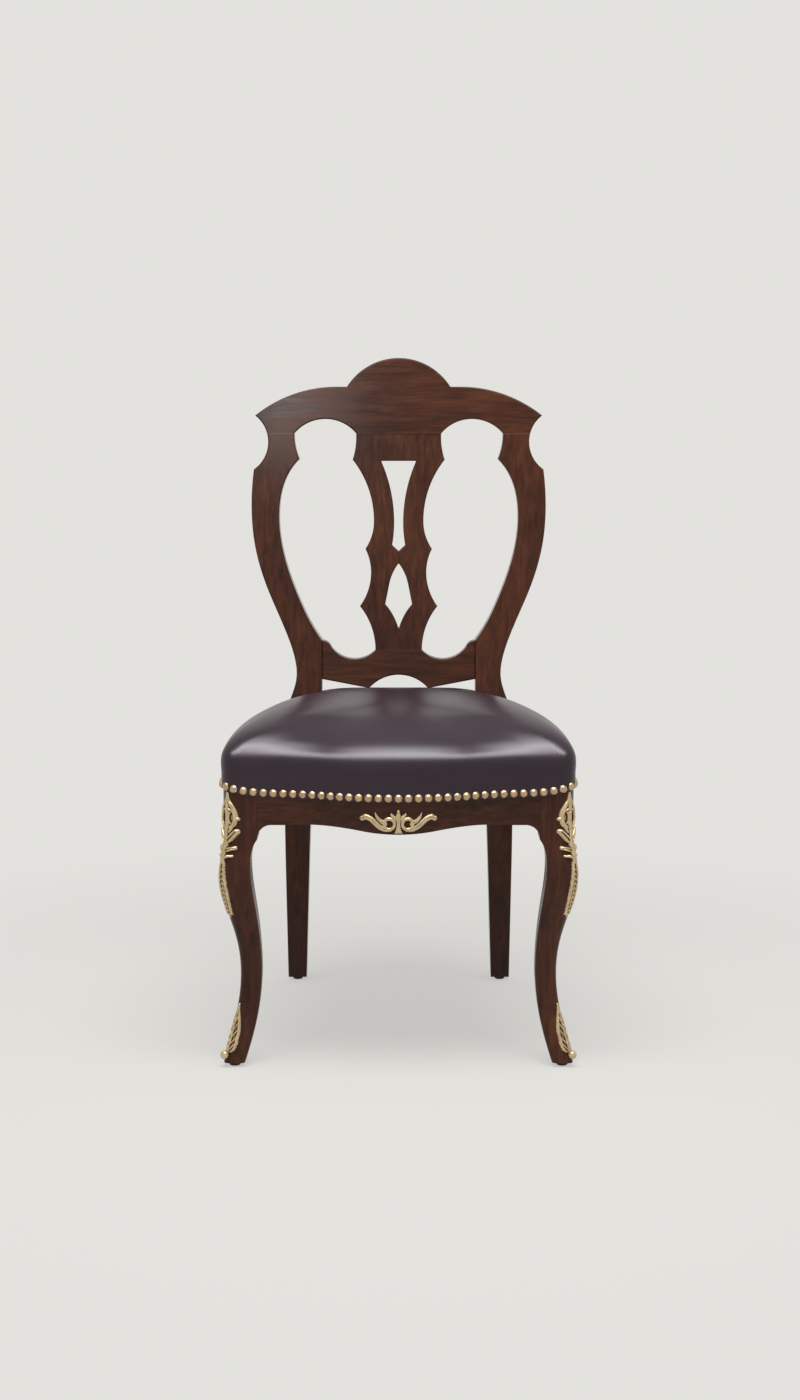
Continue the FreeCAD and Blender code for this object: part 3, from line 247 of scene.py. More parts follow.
# The third tone of the nails is dirt, and at their rims it is also painted shade.
NAIL_BRASS = ((0.62, 0.45, 0.28), (0.47, 0.32, 0.19), (0.10, 0.052, 0.022))
GILDING = ((0.72, 0.57, 0.36), (0.54, 0.40, 0.23), (0.085, 0.043, 0.018))
looks = {
    "along_x": wood("mahogany_along_x", "x", *MAHOGANY, MAHOGANY_GLOSS, MAHOGANY_SEAM_HIGHLIGHTS),
    "along_y": wood("mahogany_along_y", "y", *MAHOGANY, MAHOGANY_GLOSS, MAHOGANY_SEAM_HIGHLIGHTS),
    "along_z": wood("mahogany_along_z", "z", *MAHOGANY, MAHOGANY_GLOSS, MAHOGANY_SEAM_HIGHLIGHTS),
    "beech": wood("beech_blocks", "x", *BEECH, BEECH_GLOSS, ()),
    "leather": leather("aubergine_hide"),
    "nails": metal("antique_brass", *NAIL_BRASS, 0.26, 0.004),
    "gilt": metal("old_gilding", *GILDING, 0.30),
    "steel": brushed("turned_steel"),
    "jute": woven("jute_webbing", (0.30, 0.205, 0.105), (0.11, 0.068, 0.03), 0.0024),
    "burlap": woven("burlap_cloth", (0.34, 0.25, 0.135), (0.13, 0.085, 0.04), 0.0016),
    "glide": dull("dark_glide", (0.018, 0.015, 0.013), (0.008, 0.0065, 0.006), 0.55),
}
dressed = {
    "along_x": ("crest_rail", "lower_back_rail", "front_rail", "rear_rail"),
    "along_y": ("right_side_rail", "left_side_rail"),
    "along_z": (
        "back_splat", "right_rear_post", "left_rear_post", "right_front_leg", "left_front_leg",
    ),
    "beech": (
        "crest_dowels", "right_front_block", "left_front_block", "right_rear_block", "left_rear_block",
    ),
    "nails": ("front_nails", "left_nails", "right_nails", "rear_nails", "mount_pins"),
    "steel": ("block_bolts", "block_washers", "block_nuts"),
    "jute": ("lengthwise_webbing", "cross_webbing"),
    "burlap": ("seat_burlap",),
    "glide": ("right_front_glide", "left_front_glide", "right_rear_glide", "left_rear_glide"),
}
for look, names in dressed.items():
    for name in names:
        for slot in nodes[name].material_slots:
            slot.material = looks[look]


def piece(name, points, faces, look, replaced, rubbed_and_unshaded=None):
    """New smooth mesh that rides with the chair and stands for CAD nodes."""
    mesh = bpy.data.meshes.new(name)
    mesh.from_pydata([tuple(point) for point in points], [], faces)
    mesh.polygons.foreach_set("use_smooth", [True] * len(mesh.polygons))
    mesh.materials.append(looks[look])
    if rubbed_and_unshaded is not None:
        mesh.attributes.new("rubbed_and_unshaded", "FLOAT", "POINT").data.foreach_set("value", rubbed_and_unshaded)
    mesh.update()
    made = bpy.data.objects.new(name, mesh)
    scene.collection.objects.link(made)
    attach(made, "root")
    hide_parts(*replaced)
    return made


# Seat cushion, in metres; its line gives the share of the way in to the crown and the rise in millimetres
SEAT_FRONT = -0.235375
HALF_WIDTH = 0.244
REAR_HALF = 0.1795
SEAT_DEPTH = 0.405
SEAT_BACK = 0.437
FRONT_BOW = 0.044
LEG_BLOCK = 0.048
CORNER = 0.026
CROWN_HALF = 0.124
CROWN_CORNER = 0.086
RAIL_TOP = 0.416
HEM = 0.384
HEM_RISE = 0.008
HEM_RISE_START = 0.170
HEM_RISE_REACH = 0.068
SKIN = 0.0025
SKIN_INSIDE = 0.0004
PAD_LOW = 0.4215
PAD_INSET = 0.003
RAIL_GAP = 0.001
POST_INNER = 0.120
POST_GAP = 0.0006
CUSHION_LINE = (
    (0.0, 0.0), (-0.006, 15.0), (0.012, 28.5), (0.075, 42.5), (0.19, 54.0),
    (0.35, 63.1), (0.542, 71.0), (0.767, 76.7), (1.0, 79.9),
)
CROWN_INSET = HALF_WIDTH - CROWN_HALF
CROWN_LIFT = 0.0034
CROWN_EASING = 10
EASED_ROWS = 7
LINE_STEPS = 33
STUFFING_PUSH = 0.002
STUFFING_RISE = 0.03
STUFFING_FRAMES = 20
STUFFING_PRESSURE = 4.0
STUFFING_SMOOTHING = 40


def arc_points(start, middle, end, count):
    """Points on the circle through three points, without the last one."""
    a, b, c = (np.array(p, float) for p in (start, middle, end))
    ab, ac = b - a, c - a
    cross = ab[0] * ac[1] - ab[1] * ac[0]
    if abs(cross) < 1e-10:
        return [a + (c - a) * i / count for i in range(count)]
    centre = a + np.array([
        ac[1] * (ab @ ab) - ab[1] * (ac @ ac),
        ab[0] * (ac @ ac) - ac[0] * (ab @ ab),
    ]) / (2 * cross)
    angles = [math.atan2(*(p - centre)[::-1]) for p in (a, b, c)]
    turn = (angles[2] - angles[0]) % math.tau
    if (angles[1] - angles[0]) % math.tau > turn:
        turn -= math.tau
    radius = np.linalg.norm(a - centre)
    steps = angles[0] + turn * np.arange(count) / count
    return list(centre + radius * np.stack([np.cos(steps), np.sin(steps)], 1))


def bend_middle(start, direction, end):
    """Middle of the arc that leaves start along the direction."""
    start, direction, end = (np.array(p, float) for p in (start, direction, end))
    chord = end - start
    length = np.linalg.norm(chord)
    unit = chord / length
    side = direction - unit * (direction @ unit)
    size = np.linalg.norm(side)
    if size < 1e-9:
        return (start + end) / 2
    turn = math.acos(max(-1.0, min(1.0, direction @ unit)))
    return (start + end) / 2 + side / size * length / 2 * math.tan(turn / 2)


def resampled(corners, count):
    """Evenly spaced points along a broken line, with both ends."""
    corners = np.array(corners, float)
    lengths = np.concatenate([[0.0], np.cumsum(np.linalg.norm(np.diff(corners, axis=0), axis=1))])
    places = np.linspace(0.0, lengths[-1], count)
    return list(np.stack([np.interp(places, lengths, corners[:, k]) for k in (0, 1)], 1))


def seat_ring(inset):
    """Outline of the seat drawn in from the rails, once round from the middle of the front."""
    softening = (CROWN_CORNER - CORNER) / CROWN_INSET
    corner = CORNER + max(-inset, softening * inset)
    half = HALF_WIDTH - inset
    flat = LEG_BLOCK - CORNER
    shoulder = half - corner - flat
    bow = FRONT_BOW * shoulder / (HALF_WIDTH - LEG_BLOCK)
    swell = (shoulder / 2, inset - bow / 2)
    heel = (shoulder, inset)
    corner_start = (half - corner, inset)
    corner_end = (half, inset + corner)
    flank = (half, inset + corner + flat)
    back_y = SEAT_BACK - inset
    notch_y = min(SEAT_DEPTH - POST_GAP, back_y)
    tail = (REAR_HALF - inset, min(back_y - (SEAT_BACK - SEAT_DEPTH), notch_y))
    notch_x = min(POST_INNER - POST_GAP, tail[0])
    right = arc_points((0, inset - bow), (
        swell[0] * 0.5, arc_points((-swell[0], swell[1]), (0, inset - bow), swell, 4)[3][1],
    ), swell, 13)
    right += arc_points(swell, bend_middle(heel, (-1, 0), swell), heel, 13)
    right += resampled((heel, corner_start), 4)[:-1]
    right += arc_points(corner_start, bend_middle(corner_start, (1, 0), corner_end), corner_end, 12)
    right += resampled((corner_end, flank), 4)[:-1]
    right += arc_points(flank, bend_middle(flank, (0, 1), tail), tail, 36)
    right += resampled((tail, (notch_x, notch_y), (notch_x, back_y), (0, back_y)), 32)
    left = [np.array((-p[0], p[1])) for p in right[-2:0:-1]]
    ring = np.array(right + left)
    ring[:, 1] += SEAT_FRONT
    return ring


def edge_rise(x):
    """How far the lower edge of the leather rises towards the front corners."""
    radius = (HEM_RISE_REACH ** 2 + HEM_RISE ** 2) / (2 * HEM_RISE)
    reach = np.maximum(0.0, np.abs(x) - HEM_RISE_START)
    return radius - np.sqrt(radius ** 2 - reach ** 2)


def smooth_line(points, count):
    """Smooth curve through points, sampled evenly along the spaces between them."""
    points = np.array(points, float)
    padded = np.vstack([2 * points[0] - points[1], points, 2 * points[-1] - points[-2]])
    made = []
    for place in np.linspace(0, len(points) - 1, count):
        i = min(int(place), len(points) - 2)
        t = place - i
        a, b, c, d = padded[i:i + 4]
        made.append(0.5 * (2 * b + (c - a) * t + (2 * a - 5 * b + 4 * c - d) * t * t
                           + (3 * b - a - 3 * c + d) * t ** 3))
    return np.array(made)


def level_ring(inset, height):
    ring = seat_ring(inset)
    return np.column_stack([ring, np.full(len(ring), height)])


def hem_ring(inset, share):
    """Ring on the skirt of the leather, at a share of the way from its lower edge to the rail tops."""
    ring = seat_ring(inset)
    low = HEM + edge_rise(ring[:, 0])
    return np.column_stack([ring, low + (RAIL_TOP - low) * share])


def inner_rings(ring, shares, lift):
    """Rings that close in on the middle of a ring and turn oval on the way."""
    middle = np.array([0.0, (ring[:, 1].min() + ring[:, 1].max()) / 2, ring[:, 2].mean()])
    reach = (ring - middle) / [ring[:, 0].max(), np.ptp(ring[:, 1]) / 2, 1.0]
    oval = (ring - middle) / np.hypot(reach[:, 0], reach[:, 1])[:, None]
    made = []
    for share in shares:
        closer = middle + ((ring - middle) * share + oval * (1 - share)) * share
        closer[:, 2] += lift * (1 - share ** 2)
        made.append(closer)
    return made


profile = smooth_line([(share * CROWN_INSET, rise * MM) for share, rise in CUSHION_LINE], LINE_STEPS)
slopes = np.gradient(profile, axis=0)
slopes /= np.linalg.norm(slopes, axis=1)[:, None]
skin_line = profile + SKIN * np.column_stack([-slopes[:, 1], slopes[:, 0]])
skin_line[0] = (-SKIN, 0.0)

under = level_ring(PAD_INSET, PAD_LOW)
rings = inner_rings(under, (0.06, 0.3, 0.55, 0.8), 0.0)
rings += [under, level_ring(SKIN_INSIDE, RAIL_TOP + RAIL_GAP)]
rings += [hem_ring(-SKIN_INSIDE, share) for share in (0.9, 0.5, 0.05)]
rings += [hem_ring(-SKIN, share) for share in (0.0, 0.05, 0.2, 0.4, 0.6, 0.8)]
held_count = len(rings)
rings += [level_ring(inset, RAIL_TOP + rise) for inset, rise in skin_line]
crown = rings[-1]
crown_row = len(rings) - 1
rings += inner_rings(crown, np.linspace(0.93, 0.06, 13), CROWN_LIFT)
heights = np.stack([ring[:, 2] for ring in rings])
eased = crown_row - EASED_ROWS
for _ in range(CROWN_EASING):
    heights[eased:-1] = (heights[eased - 1:-2] + 2 * heights[eased:-1] + heights[eased + 1:]) / 4
for ring, height in zip(rings, heights):
    ring[:, 2] = height
around = len(crown)
points = np.vstack(rings)
faces = []
for row in range(len(rings) - 1):
    for i in range(around):
        j = (i + 1) % around
        faces.append((row * around + i, row * around + j, (row + 1) * around + j, (row + 1) * around + i))
faces.append(tuple(range(around))[::-1])
last = (len(rings) - 1) * around
faces.append(tuple(range(last, last + around)))
cushion = piece(
    "seat_cushion", points, faces, "leather", ("seat_leather", "seat_pad")
)


def stuffed(made, held, reach):
    """Let the stuffing press the cover out, with the nailed edge held still."""
    mesh = made.data
    start = np.empty(len(mesh.vertices) * 3)
    mesh.vertices.foreach_get("co", start)
    start = start.reshape(-1, 3)
    free = np.zeros(len(start))
    free[held * around:] = 1.0
    normals = np.array([vertex.normal for vertex in mesh.vertices])
    ease = np.clip((start[:, 2] - RAIL_TOP) / STUFFING_RISE, 0.0, 1.0) * free
    smaller = start - normals * (reach * ease)[:, None]
    mesh.vertices.foreach_set("co", smaller.ravel())
    group = made.vertex_groups.new(name="held")
    group.add([int(i) for i in np.flatnonzero(free == 0)], 1.0, "REPLACE")
    cloth = made.modifiers.new("stuffing", "CLOTH")
    settings = cloth.settings
    settings.quality = 6
    settings.mass = 0.3
    settings.tension_stiffness = 30
    settings.compression_stiffness = 30
    settings.shear_stiffness = 15
    settings.bending_stiffness = 8
    settings.use_pressure = True
    settings.uniform_pressure_force = STUFFING_PRESSURE
    settings.vertex_group_mass = "held"
    settings.effector_weights.gravity = 0.0
    cloth.point_cache.frame_start = 1
    cloth.point_cache.frame_end = STUFFING_FRAMES
    for number in range(1, STUFFING_FRAMES + 1):
        scene.frame_set(number)
    shape = made.evaluated_get(bpy.context.evaluated_depsgraph_get())
    moved = np.empty(len(start) * 3)
    shape.data.vertices.foreach_get("co", moved)
    moved = moved.reshape(-1, 3)
    made.modifiers.remove(cloth)
    made.vertex_groups.remove(group)
    scene.frame_set(1)
    push = ((moved - start) * normals).sum(1)
    push = (push - push[ease == 1.0].mean()).reshape(-1, around)
    hold = ease.reshape(-1, around)
    for _ in range(STUFFING_SMOOTHING):
        beside = np.roll(push, 1, 1) + np.roll(push, -1, 1)
        above = np.vstack([push[1:], push[-1:].mean(1, keepdims=True).repeat(around, 1)])
        below = np.vstack([push[:1], push[:-1]])
        push = (beside + above + below) / 4 * hold
    calm = np.concatenate([np.ones(crown_row), np.linspace(1.0, 0.0, len(push) - crown_row)])[:, None]
    push = push * calm + push.mean(1, keepdims=True) * (1 - calm)
    far = np.clip(push, -reach, reach).ravel()
    capped = start + normals * far[:, None]
    mesh.vertices.foreach_set("co", capped.ravel())
    mesh.update()


stuffed(cushion, held_count + 2, STUFFING_PUSH)
fuller = cushion.modifiers.new("fuller", "SUBSURF")
fuller.levels = 1
fuller.render_levels = 1


# Gilt mounts, in millimetres: across the surface that carries them, up from the floor, and out from the
# surface. The distance to look from, the toe ball and the room ahead of the apron are in metres.
GRID = 0.5
NO_METAL = -9.0
EDGE_SLOPE = 1.5
FLUTE_SHARE = 0.3
BEVEL = 1.2
BOWL_FLAT = 0.72
BOWL_EDGE = 1.05
BOWL_SLOPE = 8
LEAST_HEIGHT = -1.4
DEEPEST_EDGE = -1.2
RIM = -0.5
RUB_REACH = 1.6
RUB_RANGE = 1.1
SUNK = 1.0
EYE_DISTANCE = 0.1


def shaped(node):
    """Search tree of a CAD node, to lay ornament on its surface."""
    mesh = nodes[node].data
    return BVHTree.FromPolygons(
        [vertex.co for vertex in mesh.vertices], [tuple(p.vertices) for p in mesh.polygons]
    )


def blurred(grid, reach):
    """Grid averaged over its neighbours, a number of steps each way."""
    steps = np.arange(-int(3 * reach), int(3 * reach) + 1)
    weights = np.exp(-0.5 * (steps / reach) ** 2)
    weights /= weights.sum()
    for axis in (0, 1):
        width = [(0, 0), (0, 0)]
        width[axis] = (len(steps) // 2, len(steps) // 2)
        grid = np.apply_along_axis(np.convolve, axis, np.pad(grid, width, "edge"), weights, "valid")
    return grid


class Relief:
    """Height of an ornament over the surface below, on a fine grid, in millimetres."""

    def __init__(self, across, up, step=GRID):
        self.s = np.arange(across[0], across[1] + step / 2, step)
        self.z = np.arange(up[0], up[1] + step / 2, step)
        self.S, self.Z = np.meshgrid(self.s, self.z)
        self.height = np.full(self.S.shape, NO_METAL)

    def near(self, path):
        """Share of the way along a path to its nearest sample, and the distance to that."""
        squared = (self.S[..., None] - path[:, 0]) ** 2 + (self.Z[..., None] - path[:, 1]) ** 2
        return squared.argmin(-1) / (len(path) - 1), np.sqrt(squared.min(-1))

    def raise_to(self, height):
        self.height = np.maximum(self.height, height)

    def strand(self, points, widths, heights, flutes=0.0, count=64):
        """Rounded leaf or stem along a path, with flutes cut along it."""
        path = smooth_line(points, count)
        along, distance = self.near(path)
        width = np.interp(along, np.linspace(0, 1, len(widths)), widths)
        top = np.interp(along, np.linspace(0, 1, len(heights)), heights)
        q = distance / width
        round_top = np.sqrt(np.maximum(0.0, 1 - q ** 2))
        groove = 1 - flutes * np.exp(-((q / FLUTE_SHARE) ** 2))
        self.raise_to(np.where(q < 1, top * round_top * groove, (1 - q) * width * EDGE_SLOPE))

    def plate(self, outline, thickness):
        """Flat ground with bevelled edges inside a closed outline."""
        corners = np.array(outline, float)
        inside = np.zeros(self.S.shape, bool)
        nearest = np.full(self.S.shape, 1e9)
        for a, b in zip(corners, np.roll(corners, -1, axis=0)):
            run = b - a
            t = np.clip(((self.S - a[0]) * run[0] + (self.Z - a[1]) * run[1]) / (run @ run), 0, 1)
            nearest = np.minimum(nearest, np.hypot(self.S - a[0] - t * run[0], self.Z - a[1] - t * run[1]))
            crosses = (a[1] > self.Z) != (b[1] > self.Z)
            place = a[0] + (self.Z - a[1]) / (run[1] if run[1] else 1e-9) * run[0]
            inside ^= crosses & (self.S < place)
        self.raise_to(np.where(inside, np.minimum(thickness, nearest * BEVEL), -nearest * EDGE_SLOPE))

    def bead(self, s, z, radius, height):
        distance = np.hypot(self.S - s, self.Z - z) / radius
        dome = height * np.sqrt(np.maximum(0, 1 - distance ** 2))
        self.raise_to(np.where(distance < 1, dome, (1 - distance) * radius * EDGE_SLOPE))

    def pierce(self, s, z, half_s, half_z, floor):
        """Sink an oval hollow."""
        inside = np.hypot((self.S - s) / half_s, (self.Z - z) / half_z)
        bowl = floor + np.maximum(0, inside - BOWL_FLAT) * BOWL_SLOPE
        self.height = np.where(inside < BOWL_EDGE, np.minimum(self.height, bowl), self.height)

    def solid(self, surface, base, across, outward):
        """Closed skin over the surface, found by looking inwards from outside it."""
        rows, columns = self.height.shape
        ground = np.full((rows, columns, 3), np.nan)
        for r in range(rows):
            for c in range(columns):
                if self.height[r, c] < LEAST_HEIGHT:
                    continue
                spot = base + across * (self.s[c] * MM) + Vector((0, 0, self.z[r] * MM))
                hit = surface.ray_cast(spot + outward * EYE_DISTANCE, -outward, 2 * EYE_DISTANCE)[0]
                if hit:
                    ground[r, c] = hit
        high = np.maximum(self.height, 0.0)
        proud = high - blurred(high, RUB_REACH / (self.s[1] - self.s[0]))
        rubbed_and_unshaded = np.clip(0.5 + proud / RUB_RANGE, 0.0, 1.0)
        way = np.array(outward)
        front = ground + way * np.maximum(self.height, DEEPEST_EDGE)[..., None] * MM
        rear = ground - way * (SUNK * MM)
        good = ~np.isnan(ground[..., 0])
        cells = good[:-1, :-1] & good[1:, :-1] & good[:-1, 1:] & good[1:, 1:]
        highest = np.maximum.reduce([
            self.height[:-1, :-1], self.height[1:, :-1], self.height[:-1, 1:], self.height[1:, 1:]
        ])
        cells &= highest > RIM
        points, faces, bright, index = [], [], [], {}

        def corner_of(layer, r, c):
            key = (layer, r, c)
            if key not in index:
                index[key] = len(points)
                points.append((front if layer == 0 else rear)[r, c])
                bright.append(float(rubbed_and_unshaded[r, c]))
            return index[key]

        for r, c in np.argwhere(cells):
            ring = ((r, c), (r, c + 1), (r + 1, c + 1), (r + 1, c))
            faces.append(tuple(corner_of(0, *corner) for corner in ring))
            faces.append(tuple(corner_of(1, *corner) for corner in ring[::-1]))
            sides = ((r - 1, c), (r, c + 1), (r + 1, c), (r, c - 1))
            for k, (nr, nc) in enumerate(sides):
                if 0 <= nr < rows - 1 and 0 <= nc < columns - 1 and cells[nr, nc]:
                    continue
                a, b = ring[k], ring[(k + 1) % 4]
                faces.append((corner_of(0, *b), corner_of(0, *a), corner_of(1, *a), corner_of(1, *b)))
        return points, faces, bright


def mirrored_points(points):
    return [(-p[0], p[1], p[2]) for p in points]


def turned(faces):
    return [face[::-1] for face in faces]


def mirrored_outline(half):
    """Closed outline from its right half, which starts and ends on the middle line."""
    return half + [(-s, z) for s, z in half[-2:0:-1]]


def both(relief, points, *rest, **more):
    """The same strand on either side of the middle line."""
    relief.strand(points, *rest, **more)
    relief.strand([(-s, z) for s, z in points], *rest, **more)


LEG_CORNER = Vector((HALF_WIDTH, SEAT_FRONT, 0.0))
OUTWARD = Vector((1, -1, 0)).normalized()
ACROSS = Vector((-1, -1, 0)).normalized()

knee = Relief((-19, 19), (210, 392))
knee.plate(mirrored_outline([
    (0, 391), (3.4, 379), (8.5, 372), (13, 362.5), (14, 354), (11.5, 345), (7, 340), (14, 336), (7, 326),
    (4, 318), (11, 312), (4, 305), (9, 301), (3.5, 295), (4.6, 280.5), (5.6, 266.5), (6.1, 252),
    (5.9, 237.5), (4.8, 223.5), (3.4, 217), (0, 212),
]), 2.0)
both(knee, [(0.4, 390), (2.6, 379.5), (7.2, 372), (11.6, 363), (12.6, 354), (10.2, 346), (5.0, 341.5)],
     (1.2, 2.6, 3.3, 3.3, 3.0), (2.2, 3.4, 4.0, 4.2, 3.6))
both(knee, [(1.2, 368), (4.2, 366.6), (9.4, 364.6)], (1.8, 2.2, 1.8), (3.4, 4.0, 3.4))
knee.strand([(0, 390), (0, 372), (0, 352), (0, 338)], (1.6, 6.0, 5.0, 5.0), (2.6, 3.2, 3.4, 4.2))
for side in (1, -1):
    knee.pierce(6.8 * side, 355, 3.7, 8.4, 0.1)
    knee.bead(15 * side, 353.6, 2.8, 4.2)
    knee.bead(3.4 * side, 218.5, 2.0, 3.4)
both(knee, [(0.6, 328), (4.6, 336), (8.6, 342.5)], (2.0, 3.0, 2.0), (3.0, 3.8, 3.0))
both(knee, [(-1.0, 317.5), (5.0, 325.5), (14.0, 335.8)], (3.4, 5.2, 4.0), (6.0, 7.0, 5.6), flutes=0.45)
both(knee, [(-1.5, 306.5), (5.5, 310.8), (12.8, 313.0)], (2.6, 3.7, 3.1), (6.0, 6.4, 5.0), flutes=0.35)
both(knee, [(0, 298), (5.5, 301.6), (11.2, 302.0)], (2.2, 2.9, 1.9), (5.0, 5.0, 3.8))
knee.strand([(0, 342), (0, 318), (0, 294)], (3.4, 4.6, 3.6), (4.6, 8.6, 7.0), flutes=0.2)
both(knee, [(1.0, 303), (2.3, 294), (3.7, 280.5), (4.7, 266.5), (5.2, 252.2), (5.0, 237.5), (4.0, 223.4),
            (3.2, 218)], (1.2, 1.6, 1.6, 1.5), (5.4, 4.8, 3.8, 3.2))
# Herringbone in the tail of the knee mount: height of its furrows and ridges, slant and spacing
FURROW, RIDGE, SLANT, SPACING = 1.4, 1.5, 0.9, 6.6
BAND_LOW, BAND_HIGH = 214, 296
herring = FURROW + RIDGE * np.abs(((knee.Z + SLANT * np.abs(knee.S)) / SPACING) % 1.0 * 2 - 1)
band = np.interp(
    knee.Z, (BAND_LOW, 223.5, 237.5, 252, 266.5, 280.5, 295), (0.4, 3.9, 4.9, 5.1, 4.7, 3.6, 2.0)
)
inside_band = (np.abs(knee.S) < band) & (knee.Z > BAND_LOW) & (knee.Z < BAND_HIGH)
knee.height = np.where(inside_band, np.maximum(knee.height, herring), knee.height)

sabot = Relief((-14, 14), (14, 90))
half = [(0, 88), (1.2, 82), (2.6, 78), (4.8, 69), (6.2, 62), (7.6, 54), (8.6, 46), (8.3, 39), (8.8, 33),
        (7.9, 25.4), (4.8, 20.5), (0, 19)]
sabot.plate(mirrored_outline(half), 1.5)
both(sabot, [(0.5, 85)] + [(s - 1.0, z) for s, z in half[2:-2]] + [(4.6, 22)],
     (0.8, 1.3, 1.5, 1.5, 1.4), (2.0, 2.8, 3.2, 3.2, 3.0))
sabot.strand([(0, 86), (0, 55), (0, 24)], (0.8, 1.3, 1.9), (2.6, 3.4, 3.8))
for z, reach in ((70, 3.8), (60, 5.4), (50, 6.6), (40, 7.0), (31, 6.6)):
    rib = [(0.4, z - 9), (reach * 0.6, z - 3), (reach, z + 1.5)]
    both(sabot, rib, (0.9, 1.2, 0.7), (3.0, 3.0, 2.4), count=24)

TOE_BALL = 0.0062
TOE_BALL_RUBBED = 0.8
BALL_TURNS = 32
BALL_STEPS = 16


def add_toe_ball(points, faces, bright):
    """Ball in front of the foot, where the CAD has it."""
    low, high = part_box("right_sabot")
    centre = Vector((high.x - TOE_BALL, low.y + TOE_BALL, low.z + TOE_BALL))
    first = len(points)
    for i in range(1, BALL_STEPS):
        tilt = math.pi * i / BALL_STEPS
        for j in range(BALL_TURNS):
            turn = math.tau * j / BALL_TURNS
            points.append((
                centre.x + TOE_BALL * math.sin(tilt) * math.cos(turn),
                centre.y + TOE_BALL * math.sin(tilt) * math.sin(turn),
                centre.z + TOE_BALL * math.cos(tilt),
            ))
    for i in range(BALL_STEPS - 2):
        a = first + i * BALL_TURNS
        b = a + BALL_TURNS
        for j in range(BALL_TURNS):
            k = (j + 1) % BALL_TURNS
            faces.append((a + j, b + j, b + k, a + k))
    bottom = first + (BALL_STEPS - 2) * BALL_TURNS
    faces.append(tuple(range(first, first + BALL_TURNS)))
    faces.append(tuple(range(bottom, bottom + BALL_TURNS))[::-1])
    bright += [TOE_BALL_RUBBED] * (len(points) - len(bright))


right_leg = shaped("right_front_leg")
for label, relief, mount in (("knee", knee, "knee_mount"), ("toe", sabot, "sabot")):
    points, faces, bright = relief.solid(right_leg, LEG_CORNER, ACROSS, OUTWARD)
    if label == "toe":
        add_toe_ball(points, faces, bright)
    for side, placed, sides in (
        ("right_", points, faces), ("left_", mirrored_points(points), turned(faces)),
    ):
        piece(side + label + "_ornament", placed, sides, "gilt", (side + mount,), bright)

APRON_AHEAD = 0.045
apron_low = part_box("apron_mount")[0].z / MM
apron = Relief((-58, 58), (apron_low - 1, apron_low + 40))


def on_apron(points):
    return [(s, apron_low + z) for s, z in points]


both(apron, on_apron([
    (12.7 + 7.3 * math.cos(a), 13.8 + 7.3 * math.sin(a)) for a in np.linspace(-0.9, 5.2, 16)
]), (3.1, 3.1, 2.8), (3.4, 3.8, 3.2))
both(apron, on_apron([(11, 6.0), (18, 6.4), (25, 9.6), (31.5, 15.0), (38, 20.6), (45, 23.4), (49.5, 21.4)]),
     (2.8, 3.6, 4.3, 4.5, 4.3, 4.4, 4.2), (3.0, 3.6, 4.0, 4.2, 4.2, 4.4, 4.0), flutes=0.25)
both(apron, on_apron([(17.5, 14), (23.5, 17.5), (28.5, 22.5), (32, 29.4)]), (3.0, 3.6, 2.8, 0.7),
     (3.2, 4.2, 3.8, 2.2), flutes=0.2)
both(apron, on_apron([(1.8, 16), (5.2, 22.0), (9.6, 27.2)]), (2.4, 3.4, 2.1), (3.2, 4.2, 3.6), flutes=0.25)
apron.strand(on_apron([(0, 12), (0, 24), (0, 31.4)]), (2.4, 3.6, 2.5), (3.6, 4.6, 3.6), flutes=0.25)
apron.plate(on_apron([(-6.2, 0), (6.2, 0), (3.6, 7), (2.6, 16), (-2.6, 16), (-3.6, 7)]), 2.8)
both(apron, on_apron([(1.6, 16), (2.3, 8), (4.7, 1.2)]), (1.0, 1.1, 1.2), (3.6, 3.6, 3.4))
points, faces, bright = apron.solid(
    shaped("front_rail"), Vector((0, SEAT_FRONT - APRON_AHEAD, 0)), Vector((1, 0, 0)), Vector((0, -1, 0))
)
piece("apron_ornament", points, faces, "gilt", ("apron_mount",), bright)


# Floor, light and camera
BACKGROUND = (0.768, 0.760, 0.730)


def seen_directly(tree):
    """Value that is one for rays from the camera, reflections and clear materials."""
    path = tree.nodes.new("ShaderNodeLightPath")
    total = path.outputs["Is Camera Ray"]
    for name in ("Is Glossy Ray", "Is Transmission Ray"):
        node = tree.nodes.new("ShaderNodeMath")
        node.operation = "MAXIMUM"
        tree.links.new(total, node.inputs[0])
        tree.links.new(path.outputs[name], node.inputs[1])
        total = node.outputs[0]
    return total


def studio_world(level):
    world = bpy.data.worlds.new("studio")
    world.use_nodes = True
    tree = world.node_tree
    tree.nodes.clear()
    light = tree.nodes.new("ShaderNodeBackground")
    light.inputs["Color"].default_value = (1.0, 0.99, 0.97, 1.0)
    light.inputs["Strength"].default_value = level
    backdrop = tree.nodes.new("ShaderNodeBackground")
    backdrop.inputs["Color"].default_value = (*BACKGROUND, 1.0)
    mix = tree.nodes.new("ShaderNodeMixShader")
    tree.links.new(seen_directly(tree), mix.inputs[0])
    tree.links.new(light.outputs[0], mix.inputs[1])
    tree.links.new(backdrop.outputs[0], mix.inputs[2])
    output = tree.nodes.new("ShaderNodeOutputWorld")
    tree.links.new(mix.outputs[0], output.inputs[0])
    scene.world = world


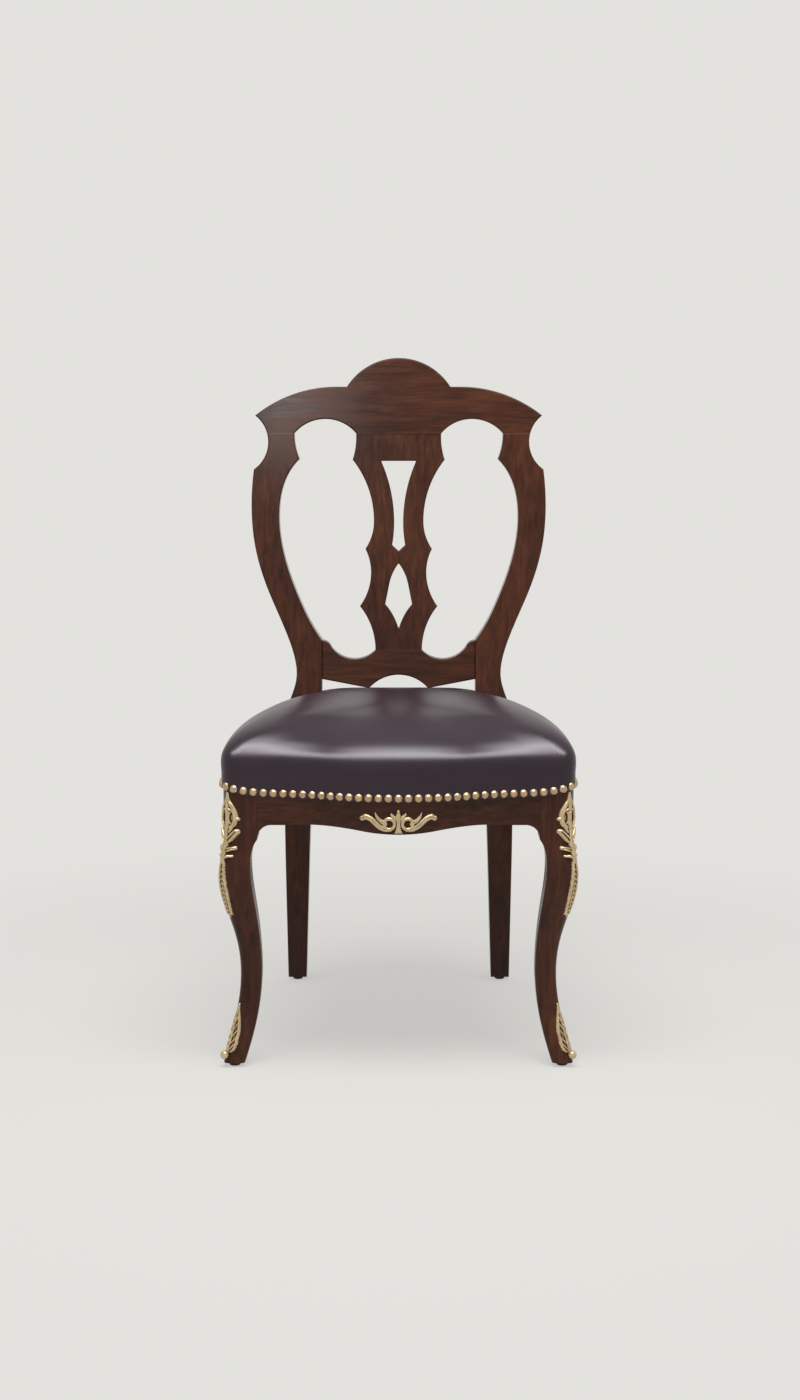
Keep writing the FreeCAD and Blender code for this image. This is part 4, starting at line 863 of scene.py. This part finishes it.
def studio_floor(half, near, far, shade):
    """Pale floor that keeps the chair's shadow, fades into the backdrop and is clear from below."""
    mesh = bpy.data.meshes.new("floor")
    corners = [(-half, -half, 0), (half, -half, 0), (half, half, 0), (-half, half, 0)]
    mesh.from_pydata(corners, [], [(0, 1, 2, 3)])
    floor = bpy.data.objects.new("floor", mesh)
    scene.collection.objects.link(floor)
    surface = Surface("studio_floor")
    tree = surface.tree
    paint = surface.noise(surface.place, 40.0, 3.0)
    tone = [c * shade for c in BACKGROUND]
    colour = surface.ramp(paint, (0.2, [c * 0.985 for c in tone]), (0.8, tone))
    matt = surface.add("ShaderNodeBsdfDiffuse", {"Color": colour})
    glow = surface.add("ShaderNodeEmission", {"Color": (*BACKGROUND, 1.0)})
    distance = surface.add("ShaderNodeVectorMath", {0: surface.place}, operation="LENGTH").outputs["Value"]
    fade = surface.spread(distance, near, far, 0.65, 1.0)
    direct = surface.math("MULTIPLY", fade, seen_directly(tree))
    mix = surface.add("ShaderNodeMixShader", {0: direct, 1: matt.outputs[0], 2: glow.outputs[0]})
    output = next(node for node in tree.nodes if node.type == "OUTPUT_MATERIAL")
    below = surface.add("ShaderNodeNewGeometry").outputs["Backfacing"]
    clear = surface.add("ShaderNodeBsdfTransparent")
    sheet = surface.add("ShaderNodeMixShader", {0: below, 1: mix.outputs[0], 2: clear.outputs[0]})
    tree.links.new(sheet.outputs[0], output.inputs["Surface"])
    tree.nodes.remove(surface.shader)
    mesh.materials.append(surface.material)


def softbox(name, place, target, size, power, gloss_on=()):
    """Soft lamp, or a card that only shows in the gloss of some objects."""
    light = bpy.data.lights.new(name, "AREA")
    light.shape = "RECTANGLE"
    light.size, light.size_y = size
    light.energy = power
    lamp = bpy.data.objects.new(name, light)
    lamp.location = place
    lamp.rotation_euler = (Vector(target) - Vector(place)).to_track_quat("-Z", "Y").to_euler()
    lamp.visible_camera = False
    if gloss_on:
        lamp.visible_diffuse = False
        shows_on = bpy.data.collections.new(name + "_shows_on")
        for made in gloss_on:
            shows_on.objects.link(made)
        lamp.light_linking.receiver_collection = shows_on
    scene.collection.objects.link(lamp)


studio_world(level=0.37)
studio_floor(half=30.0, near=0.5, far=1.4, shade=1.06)
softbox("overhead", place=(0.0, -0.75, 2.35), target=(0.0, -0.25, 0.4), size=(2.0, 1.0), power=42.0)
softbox(
    "seat_card", place=(0.0, -2.52, 3.77), target=(0.0, -0.28, 0.45), size=(9.6, 1.7), power=768.0,
    gloss_on=[cushion],
)
softbox(
    "crest_card", place=(-0.30, -2.5, 1.92), target=(-0.16, 0.25, 0.93), size=(0.18, 0.28), power=2.0,
    gloss_on=[nodes[name] for look in ("along_x", "along_z") for name in dressed[look]],
)

CAMERA_PLACE = (0.0021, -3.1577, 0.8910)
CAMERA_TILT = 82.762
CAMERA_LENS = 55.14
camera_data = bpy.data.cameras.new("camera")
camera_data.lens = CAMERA_LENS
camera_data.sensor_width = 36.0
camera = bpy.data.objects.new("camera", camera_data)
camera.location = CAMERA_PLACE
camera.rotation_euler = (math.radians(CAMERA_TILT), 0.0, 0.0)
scene.collection.objects.link(camera)
scene.camera = camera
scene.view_settings.view_transform = "Standard"

bpy.context.view_layer.update()
